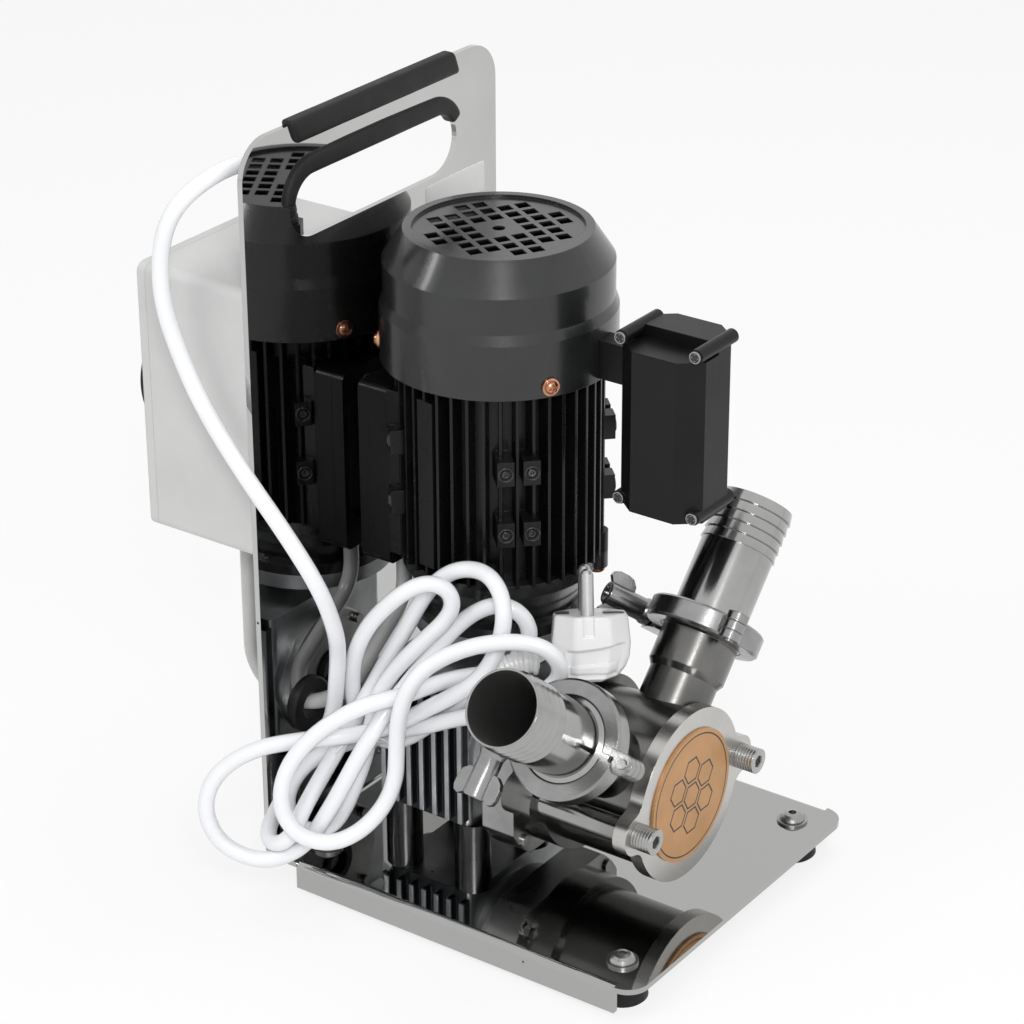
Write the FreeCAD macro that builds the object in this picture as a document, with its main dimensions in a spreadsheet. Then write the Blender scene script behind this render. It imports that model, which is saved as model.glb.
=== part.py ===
import FreeCAD, Part
import math
import os
import Sketcher

# Honey pump. A finned electric motor stands on a worm gearbox, which turns a flexible impeller pump.
# All of it stands on a bent steel frame with a speed control box behind the upright plate.
# +X runs from the plate to the pump cover and +Z is up. The origin is the middle of the plane on
# which the four rubber feet rest. Lengths are in millimetres and angles in degrees.

V = FreeCAD.Vector
doc = FreeCAD.newDocument("honey_pump")

# Driving dimensions.
SIZES = {
    # bent frame
    "base_length": 224,
    "base_width": 202,
    "plate_height": 382,
    "sheet": 3,
    "bend_radius": 5,
    "plate_corner": 20,
    "base_corner": 12,
    "flange_drop": 12,
    "flange_start": 17,
    "flange_round": 4,
    "slot_length": 134,
    "slot_height": 34,
    "slot_drop": 42.5,
    "foot_height": 16,
    "foot_radius": 13,
    "foot_inset": 21,
    "foot_head": 6.5,
    "foot_washer": 8,
    "screw_radius": 3,
    "screw_gap": 0.2,
    "trim_wall": 2.4,
    "trim_height": 12.5,
    "trim_length": 131,
    "slot_trim_lip": 2.4,
    "slot_trim_cover": 4.6,
    "slot_trim_start": 10,
    "grommet_hole": 7.3,
    "grommet_radius": 14.7,
    "grommet_flange": 3,
    "grommet_height": 72,
    "grommet_offset": 66.4,
    # gearbox
    "motor_setback": 62.8,
    "pump_offset": 14.3,
    "pump_height": 60.1,
    "pitch_radius_worm": 7.5,
    "pitch_radius_wheel": 22.5,
    "gear_module": 2.25,
    "gearbox_half_length": 31.5,
    "gearbox_half_body": 26,
    "gearbox_depth_front": 35,
    "gearbox_depth_rear": 57,
    "gearbox_floor": 20,
    "gearbox_body_height": 80,
    "gearbox_boss": 34,
    "gearbox_fin": 5.3,
    "fin_sheet": 2.6,
    "fin_pitch": 8,
    "wheel_chamber": 27.5,
    "worm_chamber": 12,
    "input_flange_radius": 45,
    "input_flange_top": 115,
    "input_flange": 8,
    "standoff_radius": 9.5,
    "standoff_x": 22,
    "standoff_y": 26,
    "shaft_radius": 7,
    "worm_journal": 6,
    "bearing_radius": 14,
    "bearing_width": 7,
    "running_gap": 0.05,
    "seal_width": 5,
    "seal_radius": 12,
    "wheel_width": 12,
    "worm_length": 44,
    "output_flange": 38.5,
    "output_flange_thick": 11.7,
    "cover_plate": 5,
    # motor
    "lower_shield": 33,
    "motor_body_length": 106,
    "motor_core": 43,
    "motor_bore": 37.2,
    "motor_fins": 52.7,
    "motor_fin_count": 40,
    "motor_fin_sheet": 1.6,
    "stator_bore": 24.5,
    "stator_length": 66,
    "rotor_radius": 24,
    "upper_shield": 8,
    "cowl_radius": 59.4,
    "cowl_waist": 57.5,
    "cowl_top": 47.1,
    "cowl_disc": 42.7,
    "cowl_sheet": 1.2,
    "cowl_rim": 28.2,
    "cowl_bevel": 5.2,
    "cowl_band": 18.3,
    "cowl_cone": 15.9,
    "grille_square": 6.7,
    "grille_pitch": 9.5,
    "grille_turn": -30,
    "fan_radius": 50,
    "fan_width": 20,
    "fan_blades": 8,
    "fan_hub": 12,
    "lug_reach": 57,
    "lug_width": 8.5,
    "lug_height": 13,
    "lug_hole": 2.4,
    "lug_offset": 6.5,
    "lug_low": 180,
    "lug_high": 213,
    "seat_angle": -98,
    "terminal_seat": 40,
    "terminal_base": 11,
    "terminal_lid": 7,
    "terminal_width": 38,
    "terminal_offset": 21.7,
    "terminal_floor": 140,
    "terminal_height": 98,
    # capacitor
    "capacitor_x": 54.5,
    "capacitor_length": 47,
    "capacitor_width": 40,
    "capacitor_bevel_x": 11,
    "capacitor_bevel_y": 9,
    "capacitor_floor": 199,
    "capacitor_front_height": 84,
    "capacitor_rear_height": 90,
    "capacitor_wall": 2.5,
    "capacitor_ear": 3.6,
    "capacitor_post": 16,
    "neck_width": 12,
    "neck_floor": 254,
    "neck_height": 20,
    # pump
    "block_length": 19,
    "block_half_width": 47,
    "block_half_height": 43.4,
    "block_round": 54,
    "block_screw_y": 37.5,
    "block_screw_z": 33.5,
    "rear_flange": 17,
    "flange_radius": 46,
    "ear_reach": 47,
    "ear_radius": 10.5,
    "ear_blend": 9,
    "barrel_radius": 41,
    "barrel_length": 48.8,
    "chamber_radius": 36,
    "chamber_floor": 4,
    "cover_radius": 45,
    "cover_thick": 7.5,
    "badge_radius": 34.7,
    "badge_thick": 1.2,
    "sleeve_radius": 6.5,
    "bolt_radius": 4,
    "bolt_head": 11,
    "impeller_hub": 17,
    "impeller_radius": 31,
    "impeller_blades": 6,
    "cam_thick": 4,
    # ports
    "port_station": 170,
    "outlet_angle": 47,
    "inlet_angle": 141.5,
    "neck_radius": 18,
    "neck_bore": 15.5,
    "neck_end": 54.5,
    "tube_radius": 20.1,
    "ferrule_radius": 25.2,
    "ferrule_centre": 82.5,
    "tail_end": 152,
    "tail_radius": 19.2,
    "tail_bore": 18,
    "barb_pitch": 5.3,
    "barb_radius": 20,
    "clamp_radius": 30,
    "clamp_width": 11.5,
    "clamp_ear_width": 14,
    "swing_reach": 35,
    "swing_drop": 9,
    "nut_seat": 26,
    "nut_radius": 6.2,
    "nut_length": 26,
    "swing_radius": 3.9,
    "eye_width": 8,
    "wing_reach": 12.5,
    "wing_thick": 3.4,
    "pin_radius": 2.5,
    "inlet_clamp_turn": -4,
    "outlet_clamp_turn": -40,
    # control box
    "control_depth": 66,
    "control_width": 118,
    "control_floor": 168,
    "control_height": 141,
    "control_wall": 3,
    "control_round": 5,
    "knob_radius": 33,
    "knob_thick": 12,
    "knob_side": 42,
    "knob_height": 238,
    "knob_shaft": 3,
    "gland_radius": 9,
    "gland_length": 12,
    # cord and plug
    "motor_cable": 4.1,
    "mains_cord": 4.2,
    "plug_width": 39,
    "plug_depth": 36,
    "plug_height": 32,
    "plug_lean": 20,
    "plug_facing": 38,
    "plug_ahead": 19.4,
    "plug_aside": 7.5,
    "plug_rise": 6.4,
    "plug_pin": 3.3,
    "plug_pin_length": 23,
    "plug_pin_pitch": 19,
}


class Size:
    """A number together with the sheet formula that it comes from."""

    def __init__(self, text, value):
        self.text = text
        self.value = float(value)

    def joined(self, sign, left, right, value):
        return Size("(%s %s %s)" % (left.text, sign, right.text), value)

    def __add__(self, other):
        other = as_size(other)
        return self.joined("+", self, other, self.value + other.value)

    def __radd__(self, other):
        return as_size(other) + self

    def __sub__(self, other):
        other = as_size(other)
        return self.joined("-", self, other, self.value - other.value)

    def __rsub__(self, other):
        return as_size(other) - self

    def __mul__(self, other):
        other = as_size(other)
        return self.joined("*", self, other, self.value * other.value)

    def __rmul__(self, other):
        return as_size(other) * self

    def __truediv__(self, other):
        other = as_size(other)
        return self.joined("/", self, other, self.value / other.value)

    def __neg__(self):
        return as_size(0) - self


def as_size(amount):
    if isinstance(amount, Size):
        return amount
    return Size(repr(float(amount)), amount)


def sine(angle):
    angle = as_size(angle)
    return Size("sin(%s)" % angle.text, math.sin(math.radians(angle.value)))


def cosine(angle):
    angle = as_size(angle)
    return Size("cos(%s)" % angle.text, math.cos(math.radians(angle.value)))


def root_of(amount):
    return Size("sqrt(%s)" % amount.text, math.sqrt(amount.value))


class Table:
    """A spreadsheet whose named cells are read as attributes."""

    def __init__(self, name):
        self.cells = doc.addObject("Spreadsheet::Sheet", name)
        self.rows = 0

    def add(self, alias, content, value):
        self.rows += 1
        cell = "B%d" % self.rows
        self.cells.set("A%d" % self.rows, alias)
        self.cells.set(cell, content)
        self.cells.setAlias(cell, alias)
        setattr(self, alias, Size("%s.%s" % (self.cells.Name, alias), value))


size = Table("dimensions")
for alias, value in SIZES.items():
    size.add(alias, str(value), value)
doc.recompute()

place = Table("places")


def derive(alias, amount):
    """Writes a derived size or place as a formula cell."""
    place.add(alias, "=" + amount.text, amount.value)


# Places that several pieces share.
derive("deck", size.foot_height + size.sheet)
derive("plate_face", -size.base_length / 2)
derive("plate_back", place.plate_face - size.sheet)
derive("plate_top", place.deck + size.plate_height)
derive("side", size.base_width / 2)
derive("motor_x", place.plate_face + size.motor_setback)
derive("pump_y", -size.pump_offset)
derive("pump_z", place.deck + size.pump_height)
derive("motor_y", place.pump_y + size.pitch_radius_worm + size.pitch_radius_wheel)
derive("gearbox_bottom", place.deck + size.gearbox_floor)
derive("gearbox_top", place.gearbox_bottom + size.gearbox_body_height)
derive("motor_base", place.deck + size.input_flange_top)
derive("body_base", place.motor_base + size.lower_shield)
derive("body_top", place.body_base + size.motor_body_length)
derive("shield_top", place.body_top + size.upper_shield)
derive("gearbox_rear", place.motor_x - size.gearbox_half_length)
derive("gearbox_face", place.motor_x + size.gearbox_half_length)
derive("block_rear", place.gearbox_face + size.output_flange_thick)
derive("block_face", place.block_rear + size.block_length)
derive("barrel_start", place.block_face + size.rear_flange)
derive("barrel_end", place.barrel_start + size.barrel_length)
derive("cover_face", place.barrel_end + size.cover_thick)
derive("port_x", place.plate_face + size.port_station)
derive("control_x", place.plate_back - size.control_depth)
derive("control_y", -place.side)
derive("control_bottom", place.deck + size.control_floor)
derive("control_top", place.control_bottom + size.control_height)
doc.recompute()

nodes = {}


def node(label, thing):
    """Names a finished sub-part."""
    thing.Label = label
    nodes[label] = thing
    return thing


def bound(thing, field, amount):
    thing.setExpression(field, as_size(amount).text)


def put(thing, x, y, z):
    bound(thing, "Placement.Base.x", x)
    bound(thing, "Placement.Base.y", y)
    bound(thing, "Placement.Base.z", z)
    return thing


def box(name, x, y, z):
    """A block between a low and a high value on each axis."""
    block = doc.addObject("Part::Box", name)
    for field, span in zip(("Length", "Width", "Height"), (x, y, z)):
        bound(block, field, as_size(span[1]) - span[0])
    return put(block, x[0], y[0], z[0])


AXIS_TURN = {
    "X": FreeCAD.Rotation(V(0, 1, 0), 90),
    "Y": FreeCAD.Rotation(V(1, 0, 0), -90),
    "Z": FreeCAD.Rotation(),
}


def three(axis, along, middle):
    """A point from its place along one axis and its places on the other two."""
    first, second = middle
    if axis == "X":
        return along, first, second
    if axis == "Y":
        return first, along, second
    return first, second, along


def rod(name, axis, span, middle, radius):
    """A cylinder along one axis, between a low and a high value."""
    bar = doc.addObject("Part::Cylinder", name)
    bound(bar, "Radius", radius)
    bound(bar, "Height", as_size(span[1]) - span[0])
    bar.Placement = FreeCAD.Placement(V(), AXIS_TURN[axis])
    return put(bar, *three(axis, span[0], middle))


def hexagon(name, axis, span, middle, radius):
    """A six-sided bar along one axis."""
    bar = doc.addObject("Part::Prism", name)
    bar.Polygon = 6
    bound(bar, "Circumradius", radius)
    bound(bar, "Height", as_size(span[1]) - span[0])
    bar.Placement = FreeCAD.Placement(V(), AXIS_TURN[axis])
    return put(bar, *three(axis, span[0], middle))


def fuse(name, *things):
    joined = doc.addObject("Part::MultiFuse", name)
    joined.Shapes = list(things)
    joined.Refine = True
    return joined


def cut(name, base, *tools):
    """Takes one or more tools away from a base."""
    result = doc.addObject("Part::Cut", name)
    result.Base = base
    result.Tool = tools[0] if len(tools) == 1 else fuse(name + "_tools", *tools)
    result.Refine = True
    return result


def common(name, *things):
    shared = doc.addObject("Part::MultiCommon", name)
    shared.Shapes = list(things)
    shared.Refine = True
    return shared


def group(name, *things):
    """Separate solids kept in one sub-part."""
    several = doc.addObject("Part::Compound", name)
    several.Links = list(things)
    return several


def outline(body, name, role, points, offset=0):
    """A closed sketch of straight lines on one of the body's own planes."""
    sketch = body.newObject("Sketcher::SketchObject", name)
    plane = [feature for feature in body.Origin.OriginFeatures if feature.Role == role][0]
    sketch.AttachmentSupport = [(plane, "")]
    sketch.MapMode = "FlatFace"
    bound(sketch, "AttachmentOffset.Base.z", offset)
    corners = [(as_size(across), as_size(up)) for across, up in points]
    ends = corners[1:] + corners[:1]
    for (x0, y0), (x1, y1) in zip(corners, ends):
        sketch.addGeometry(Part.LineSegment(V(x0.value, y0.value, 0), V(x1.value, y1.value, 0)), False)
    last = len(corners)
    for index in range(last):
        sketch.addConstraint(Sketcher.Constraint("Coincident", index, 2, (index + 1) % last, 1))
    for index, corner in enumerate(corners):
        for kind, amount in zip(("DistanceX", "DistanceY"), corner):
            number = sketch.addConstraint(Sketcher.Constraint(kind, -1, 1, index, 1, amount.value))
            bound(sketch, "Constraints[%d]" % number, amount)
    return sketch


def turned(name, axis, points, middle=(0, 0)):
    """A solid of revolution from points of radius and place along the axis."""
    body = doc.addObject("PartDesign::Body", name)
    if axis == "X":
        sketch = outline(body, name + "_profile", "XZ_Plane", [(along, radius) for radius, along in points])
        line = "H_Axis"
    else:
        role = {"Y": "XY_Plane", "Z": "XZ_Plane"}[axis]
        sketch = outline(body, name + "_profile", role, points)
        line = "V_Axis"
    turn = body.newObject("PartDesign::Revolution", name + "_turn")
    turn.Profile = sketch
    turn.ReferenceAxis = (sketch, [line])
    turn.Angle = 360
    return put(body, *three(axis, 0, middle))


PAD_PLANE = {"X": "YZ_Plane", "Y": "XZ_Plane", "Z": "XY_Plane"}


def prism(name, axis, span, points, corner=None):
    """A straight-sided solid along one axis, with its long corners rounded if a radius is given."""
    body = doc.addObject("PartDesign::Body", name)
    low, high = as_size(span[0]), as_size(span[1])
    offset = -high if axis == "Y" else low
    sketch = outline(body, name + "_outline", PAD_PLANE[axis], points, offset)
    pad = body.newObject("PartDesign::Pad", name + "_pad")
    pad.Profile = sketch
    bound(pad, "Length", high - low)
    if corner is not None:
        doc.recompute()
        direction = {"X": V(1, 0, 0), "Y": V(0, 1, 0), "Z": V(0, 0, 1)}[axis]
        rounding = body.newObject("PartDesign::Fillet", name + "_rounding")
        rounding.Base = (pad, edges_along(pad.Shape, direction))
        bound(rounding, "Radius", corner)
    return body


def edges_along(shape, direction, keep=None):
    """Names of the straight edges that run in one direction."""
    names = []
    for number, edge in enumerate(shape.Edges, 1):
        ends = [vertex.Point for vertex in edge.Vertexes]
        straight = len(ends) == 2 and isinstance(edge.Curve, Part.Line)
        if straight and abs((ends[1] - ends[0]).normalize().dot(direction)) > 0.999:
            if keep is None or keep((ends[0] + ends[1]) * 0.5):
                names.append("Edge%d" % number)
    return names


def rectangle(x, y):
    return [(x[0], y[0]), (x[1], y[0]), (x[1], y[1]), (x[0], y[1])]


def centred(middle, width):
    """The low and high value of a width about a middle."""
    half = as_size(width) / 2
    return as_size(middle) - half, as_size(middle) + half


def spoke(name, middle, angle, reach, width, span):
    """An upright block that points away from a vertical axis at an angle."""
    block = doc.addObject("Part::Box", name)
    bound(block, "Length", as_size(reach[1]) - reach[0])
    bound(block, "Width", width)
    bound(block, "Height", as_size(span[1]) - span[0])
    block.Placement = FreeCAD.Placement(V(), FreeCAD.Rotation(V(0, 0, 1), as_size(angle).value))
    half = as_size(width) / 2
    x = middle[0] + reach[0] * cosine(angle) + half * sine(angle)
    y = middle[1] + reach[0] * sine(angle) - half * cosine(angle)
    return put(block, x, y, span[0])


def radial_rod(name, middle, angle, reach, height, radius):
    """A level cylinder that points away from a vertical axis at an angle."""
    bar = doc.addObject("Part::Cylinder", name)
    bound(bar, "Radius", radius)
    bound(bar, "Height", as_size(reach[1]) - reach[0])
    turn = FreeCAD.Rotation(V(0, 0, 1), as_size(angle).value).multiply(AXIS_TURN["X"])
    bar.Placement = FreeCAD.Placement(V(), turn)
    x = middle[0] + reach[0] * cosine(angle)
    y = middle[1] + reach[0] * sine(angle)
    return put(bar, x, y, height)


def obround(name, axis, span, middle, length, height):
    """A slot shape that lies along Y."""
    radius = as_size(height) / 2
    half = as_size(length) / 2 - radius
    low = middle[0] - half
    high = middle[0] + half
    left = rod(name + "_left", axis, span, (low, middle[1]), radius)
    right = rod(name + "_right", axis, span, (high, middle[1]), radius)
    centre = box(name + "_centre", span, (low, high), (middle[1] - radius, middle[1] + radius))
    return fuse(name, left, right, centre)


motor_axis = (place.motor_x, place.motor_y)
pump_axis = (place.pump_y, place.pump_z)


def feet_places():
    """The four corners where feet and their bolts sit."""
    reach_x = size.base_length / 2 - size.foot_inset
    reach_y = place.side - size.foot_inset
    return [(sign_x * reach_x, sign_y * reach_y) for sign_x in (-1, 1) for sign_y in (-1, 1)]


def standoff_places():
    return [
        (place.motor_x + sign_x * size.standoff_x, place.pump_y + sign_y * size.standoff_y)
        for sign_x in (-1, 1)
        for sign_y in (-1, 1)
    ]


def make_frame_plate():
    """One bent sheet: a base with two turned-down sides and an upright plate with a hand slot."""
    base = place.deck - size.sheet
    front = size.base_length / 2
    profile = [
        (place.plate_back, base),
        (front, base),
        (front, place.deck),
        (place.plate_face, place.deck),
        (place.plate_face, place.plate_top),
        (place.plate_back, place.plate_top),
    ]
    bent = prism("frame_bend", "Y", (-place.side, place.side), profile)
    doc.recompute()
    pad = bent.Tip
    heel_x = place.plate_back.value
    heel = edges_along(pad.Shape, V(0, 1, 0), lambda point: point.x < heel_x + 1 and point.z < base.value + 1)
    bend = bent.newObject("PartDesign::Fillet", "frame_outer_bend")
    bend.Base = (pad, heel)
    bound(bend, "Radius", size.bend_radius)
    doc.recompute()
    throat_x = place.plate_face.value
    throat = edges_along(bend.Shape, V(0, 1, 0),
                         lambda point: abs(point.x - throat_x) < 1 and abs(point.z - place.deck.value) < 1)
    inner_bend = bent.newObject("PartDesign::Fillet", "frame_inner_bend")
    inner_bend.Base = (bend, throat)
    bound(inner_bend, "Radius", size.bend_radius - size.sheet)
    sides = []
    for number, sign in enumerate((-1, 1)):
        inner = place.side - size.sheet
        span = (-place.side, -inner) if sign < 0 else (inner, place.side)
        low = place.deck - size.flange_drop
        ends = (place.plate_face + size.flange_start, front - size.base_corner)
        sides.append(box("frame_flange_%d" % number, ends, span, (low - size.sheet, base)))
    whole = fuse("frame_whole", bent, *sides)
    tools = []
    for number, sign in enumerate((-1, 1)):
        tools.append(corner_cutter("plate_corner_%d" % number, "X", sign, size.plate_corner))
        tools.append(corner_cutter("base_corner_%d" % number, "Z", sign, size.base_corner))
        tools.append(side_bend("side_bend_%d" % number, sign))
    slot_z = place.plate_top - size.slot_drop
    through = (place.plate_back - 1, place.plate_face + 1)
    tools.append(obround("hand_slot", "X", through, (as_size(0), slot_z), size.slot_length, size.slot_height))
    grommet = (-size.grommet_offset, place.deck + size.grommet_height)
    tools.append(rod("grommet_cut", "X", through, grommet, size.grommet_radius - size.trim_wall))
    drill = (base - 1, place.deck + 1)
    for number, spot in enumerate(feet_places() + standoff_places()):
        hole = size.screw_radius + size.screw_gap
        tools.append(rod("frame_hole_%d" % number, "Z", drill, spot, hole))
    return node("frame_plate", cut("frame_plate", whole, *tools))


def side_bend(name, sign):
    """What is left of a square edge outside the bend over a turned-down side."""
    along = (place.plate_face + size.flange_start, size.base_length / 2 - size.base_corner)
    radius = size.flange_round
    inner = sign * (place.side - radius)
    across = (inner, place.side + 1) if sign > 0 else (-place.side - 1, inner)
    square = box(name + "_square", along, across, (place.deck - radius, place.deck + 1))
    return cut(name, square, rod(name + "_round", "X", along, (inner, place.deck - radius), radius))


def corner_cutter(name, axis, sign, radius):
    """What is left of a square corner outside its rounding."""
    if axis == "X":
        along = (place.plate_back - 1, place.plate_face + 1)
        corner = place.plate_top
        middle = (sign * (place.side - radius), corner - radius)
    else:
        along = (place.deck - size.sheet - 1, place.deck + 1)
        corner = size.base_length / 2
        middle = (corner - radius, sign * (place.side - radius))
    outer = place.side + 1
    across = (place.side - radius, outer) if sign > 0 else (-outer, radius - place.side)
    away = (corner - radius, corner + 1)
    if axis == "X":
        square = box(name + "_square", along, across, away)
    else:
        square = box(name + "_square", away, across, along)
    return cut(name, square, rod(name + "_round", axis, along, middle, radius))


def make_handle_trim():
    """A rubber channel pressed over the plate's top edge."""
    half = size.trim_length / 2
    wall = size.trim_wall
    low = place.plate_top + wall - size.trim_height
    thick = (place.plate_back - wall, place.plate_face + wall)
    shell = prism("trim_shell", "Y", (-half, half), rectangle(thick, (low, place.plate_top + wall)))
    groove = (place.plate_back, place.plate_face)
    slot = box("trim_slot", groove, (-half - 1, half + 1), (low - 1, place.plate_top))
    return cut("handle_trim", shell, slot)


def make_slot_trim():
    """A rubber channel round the upper half of the hand slot."""
    slot_z = place.plate_top - size.slot_drop
    wall = size.trim_wall
    thick = (place.plate_back - wall, place.plate_face + wall)
    grown = 2 * size.slot_trim_cover
    shrunk = 2 * size.slot_trim_lip
    middle = (as_size(0), slot_z)
    outer = obround("slot_outer", "X", thick, middle, size.slot_length + grown, size.slot_height + grown)
    inner = obround("slot_inner", "X", (thick[0] - 1, thick[1] + 1), middle, size.slot_length - shrunk,
                    size.slot_height - shrunk)
    ring = cut("slot_ring", outer, inner)
    reach = size.slot_length
    plate = box("slot_metal", (place.plate_back, place.plate_face), (-reach, reach),
                (slot_z - size.slot_height, slot_z + size.slot_height))
    hole = obround("slot_edge", "X", (place.plate_back - 1, place.plate_face + 1), middle, size.slot_length,
                   size.slot_height)
    metal = cut("slot_grip", plate, hole)
    lower = box("slot_lower", (thick[0] - 1, thick[1] + 1), (-reach, reach),
                (slot_z - size.slot_height, slot_z + size.slot_trim_start))
    return cut("slot_trim", ring, metal, lower)


def make_edge_trims():
    """The two lengths of rubber edging on the plate."""
    return node("edge_trims", group("edge_trims", make_handle_trim(), make_slot_trim()))


def make_rubber_feet():
    """Four tapered rubber feet with a hole for the bolt."""
    high = size.foot_height
    radius = size.foot_radius
    bore = size.screw_radius + size.screw_gap
    profile = [
        (0, 0),
        (radius - 1, 0),
        (radius, 1),
        (radius - 2, high),
        (bore, high),
        (bore, size.foot_height / 2),
        (0, size.foot_height / 2),
    ]
    feet = [turned("foot_%d" % number, "Z", profile, spot) for number, spot in enumerate(feet_places())]
    return node("rubber_feet", group("rubber_feet", *feet))


def make_foot_bolts():
    """Button-head bolts with round washers that hold the feet."""
    bolts = []
    washer_top = place.deck + 1.2
    head = size.foot_head
    for number, spot in enumerate(feet_places()):
        name = "foot_bolt_%d" % number
        profile = [
            (0, size.foot_height / 2 + 1),
            (size.screw_radius, size.foot_height / 2 + 1),
            (size.screw_radius, place.deck),
            (size.foot_washer, place.deck),
            (size.foot_washer, washer_top),
            (head - 0.3, washer_top),
            (head, washer_top + 0.5),
            (head - 0.8, washer_top + 1.9),
            (head - 2.4, washer_top + 3.1),
            (head - 4.2, washer_top + 3.6),
            (0, washer_top + 3.6),
        ]
        blank = turned(name + "_blank", "Z", profile, spot)
        socket = hexagon(name + "_socket", "Z", (washer_top + 1.4, washer_top + 5), spot, 2.3)
        bolts.append(cut(name, blank, socket))
    return node("foot_bolts", group("foot_bolts", *bolts))


def make_cable_grommet():
    """A rubber grommet in the plate for the motor cable."""
    wide = size.grommet_radius
    waist = wide - size.trim_wall
    near = place.plate_back - size.grommet_flange
    far = place.plate_face + size.grommet_flange
    profile = [
        (size.grommet_hole, near),
        (wide - 1, near),
        (wide, near + 1),
        (wide, place.plate_back),
        (waist, place.plate_back),
        (waist, place.plate_face),
        (wide, place.plate_face),
        (wide, far - 1),
        (wide - 1, far),
        (size.grommet_hole, far),
    ]
    middle = (-size.grommet_offset, place.deck + size.grommet_height)
    return node("cable_grommet", turned("cable_grommet", "X", profile, middle))


def make_standoffs():
    """Four round posts between the base and the gearbox."""
    posts = []
    for number, spot in enumerate(standoff_places()):
        post = rod("post_%d" % number, "Z", (place.deck, place.gearbox_bottom), spot, size.standoff_radius)
        bore = rod("post_bore_%d" % number, "Z", (place.deck - 1, place.gearbox_bottom + 1), spot,
                   size.screw_radius + size.screw_gap)
        posts.append(cut("standoff_%d" % number, post, bore))
    return node("standoffs", group("standoffs", *posts))


def make_standoff_screws():
    """Cap screws from under the base through the posts into the gearbox."""
    screws = []
    base = place.deck - size.sheet
    for number, spot in enumerate(standoff_places()):
        name = "standoff_screw_%d" % number
        shank = rod(name + "_shank", "Z", (base - 3, place.gearbox_bottom + 8), spot, size.screw_radius)
        head = rod(name + "_head", "Z", (base - 4, base), spot, 1.6 * size.screw_radius)
        screws.append(fuse(name, shank, head))
    return screws


def gearbox_fins():
    """Upright cooling ribs on the gearbox's near side."""
    ribs = []
    front = place.pump_y - size.gearbox_depth_front
    low = place.gearbox_bottom + 4
    high = place.gearbox_top - 4
    for number in range(7):
        middle = place.motor_x + (number - 3) * size.fin_pitch
        span = centred(middle, size.fin_sheet)
        ribs.append(box("gearbox_rib_%d" % number, span, (front - size.gearbox_fin, front + 1), (low, high)))
    return ribs


def make_gearbox_housing():
    """Cast housing: a square body, round bosses for the wheel shaft and a flange under the motor."""
    across = centred(place.motor_x, 2 * size.gearbox_half_body)
    depth = (place.pump_y - size.gearbox_depth_front, place.pump_y + size.gearbox_depth_rear)
    body = prism("gearbox_body", "Z", (place.gearbox_bottom, place.gearbox_top), rectangle(across, depth), 4)
    boss = rod("gearbox_boss", "X", (place.gearbox_rear, place.gearbox_face), pump_axis, size.gearbox_boss)
    flange_base = place.motor_base - size.input_flange
    neck = rod("gearbox_neck", "Z", (place.gearbox_top - 1, flange_base + 1), motor_axis, 24)
    wide = size.input_flange_radius
    flange = rod("gearbox_flange", "Z", (flange_base, place.motor_base), motor_axis, wide)
    whole = fuse("gearbox_whole", body, boss, neck, flange, *gearbox_fins())
    wall = place.gearbox_face - size.bearing_width - 2
    chamber = (place.gearbox_rear - 1, wall - 3)
    tools = [
        rod("wheel_chamber", "X", chamber, pump_axis, size.wheel_chamber),
        rod("wheel_bearing_seat", "X", (wall - 4, wall + size.bearing_width), pump_axis,
            size.bearing_radius),
        rod("wheel_shaft_hole", "X", (wall, place.gearbox_face + 1), pump_axis, size.shaft_radius + 1),
        rod("worm_chamber", "Z", (place.gearbox_bottom + 6, place.motor_base + 1), motor_axis,
            size.worm_chamber),
        rod("worm_low_seat", "Z", (place.gearbox_bottom + 4, place.gearbox_bottom + 4 + size.bearing_width),
            motor_axis, size.bearing_radius),
        rod("worm_high_seat", "Z", (place.gearbox_top, place.motor_base + 1), motor_axis,
            size.bearing_radius),
    ]
    for number, spot in enumerate(standoff_places()):
        drill = (place.gearbox_bottom - 1, place.gearbox_bottom + 9)
        tools.append(rod("gearbox_hole_%d" % number, "Z", drill, spot, size.screw_radius + size.screw_gap))
    for number, spot in enumerate(cover_screw_places()):
        drill = (place.gearbox_rear - 1, place.gearbox_rear + 8)
        tools.append(rod("gearbox_tap_%d" % number, "X", drill, spot, 1.6))
    return node("gearbox_housing", cut("gearbox_housing", whole, *tools))


def cover_screw_places():
    """Four screws on a circle round the wheel shaft."""
    reach = (size.wheel_chamber + size.gearbox_boss) / 2
    return [
        (place.pump_y + reach * cosine(angle), place.pump_z + reach * sine(angle))
        for angle in (45, 135, 225, 315)
    ]


def make_gearbox_cover():
    """A round cover on the gearbox's rear side, with the rear bearing in its spigot."""
    outer = place.gearbox_rear - size.cover_plate
    spigot = size.wheel_chamber - 0.1
    deep = place.gearbox_rear + size.bearing_width
    profile = [
        (size.shaft_radius + 1, outer),
        (size.gearbox_boss - 1, outer),
        (size.gearbox_boss, outer + 1),
        (size.gearbox_boss, place.gearbox_rear),
        (spigot, place.gearbox_rear),
        (spigot, deep),
        (size.bearing_radius, deep),
        (size.bearing_radius, place.gearbox_rear),
        (size.shaft_radius + 1, place.gearbox_rear),
    ]
    disc = turned("cover_disc", "X", profile, pump_axis)
    holes = [rod("cover_hole_%d" % number, "X", (outer - 1, place.gearbox_rear + 1), spot, 1.8)
             for number, spot in enumerate(cover_screw_places())]
    recess = rod("cover_recess", "X", (outer - 1, outer + size.seal_width - 2), pump_axis, size.seal_radius)
    return node("gearbox_cover", cut("gearbox_cover", disc, recess, *holes))


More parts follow.
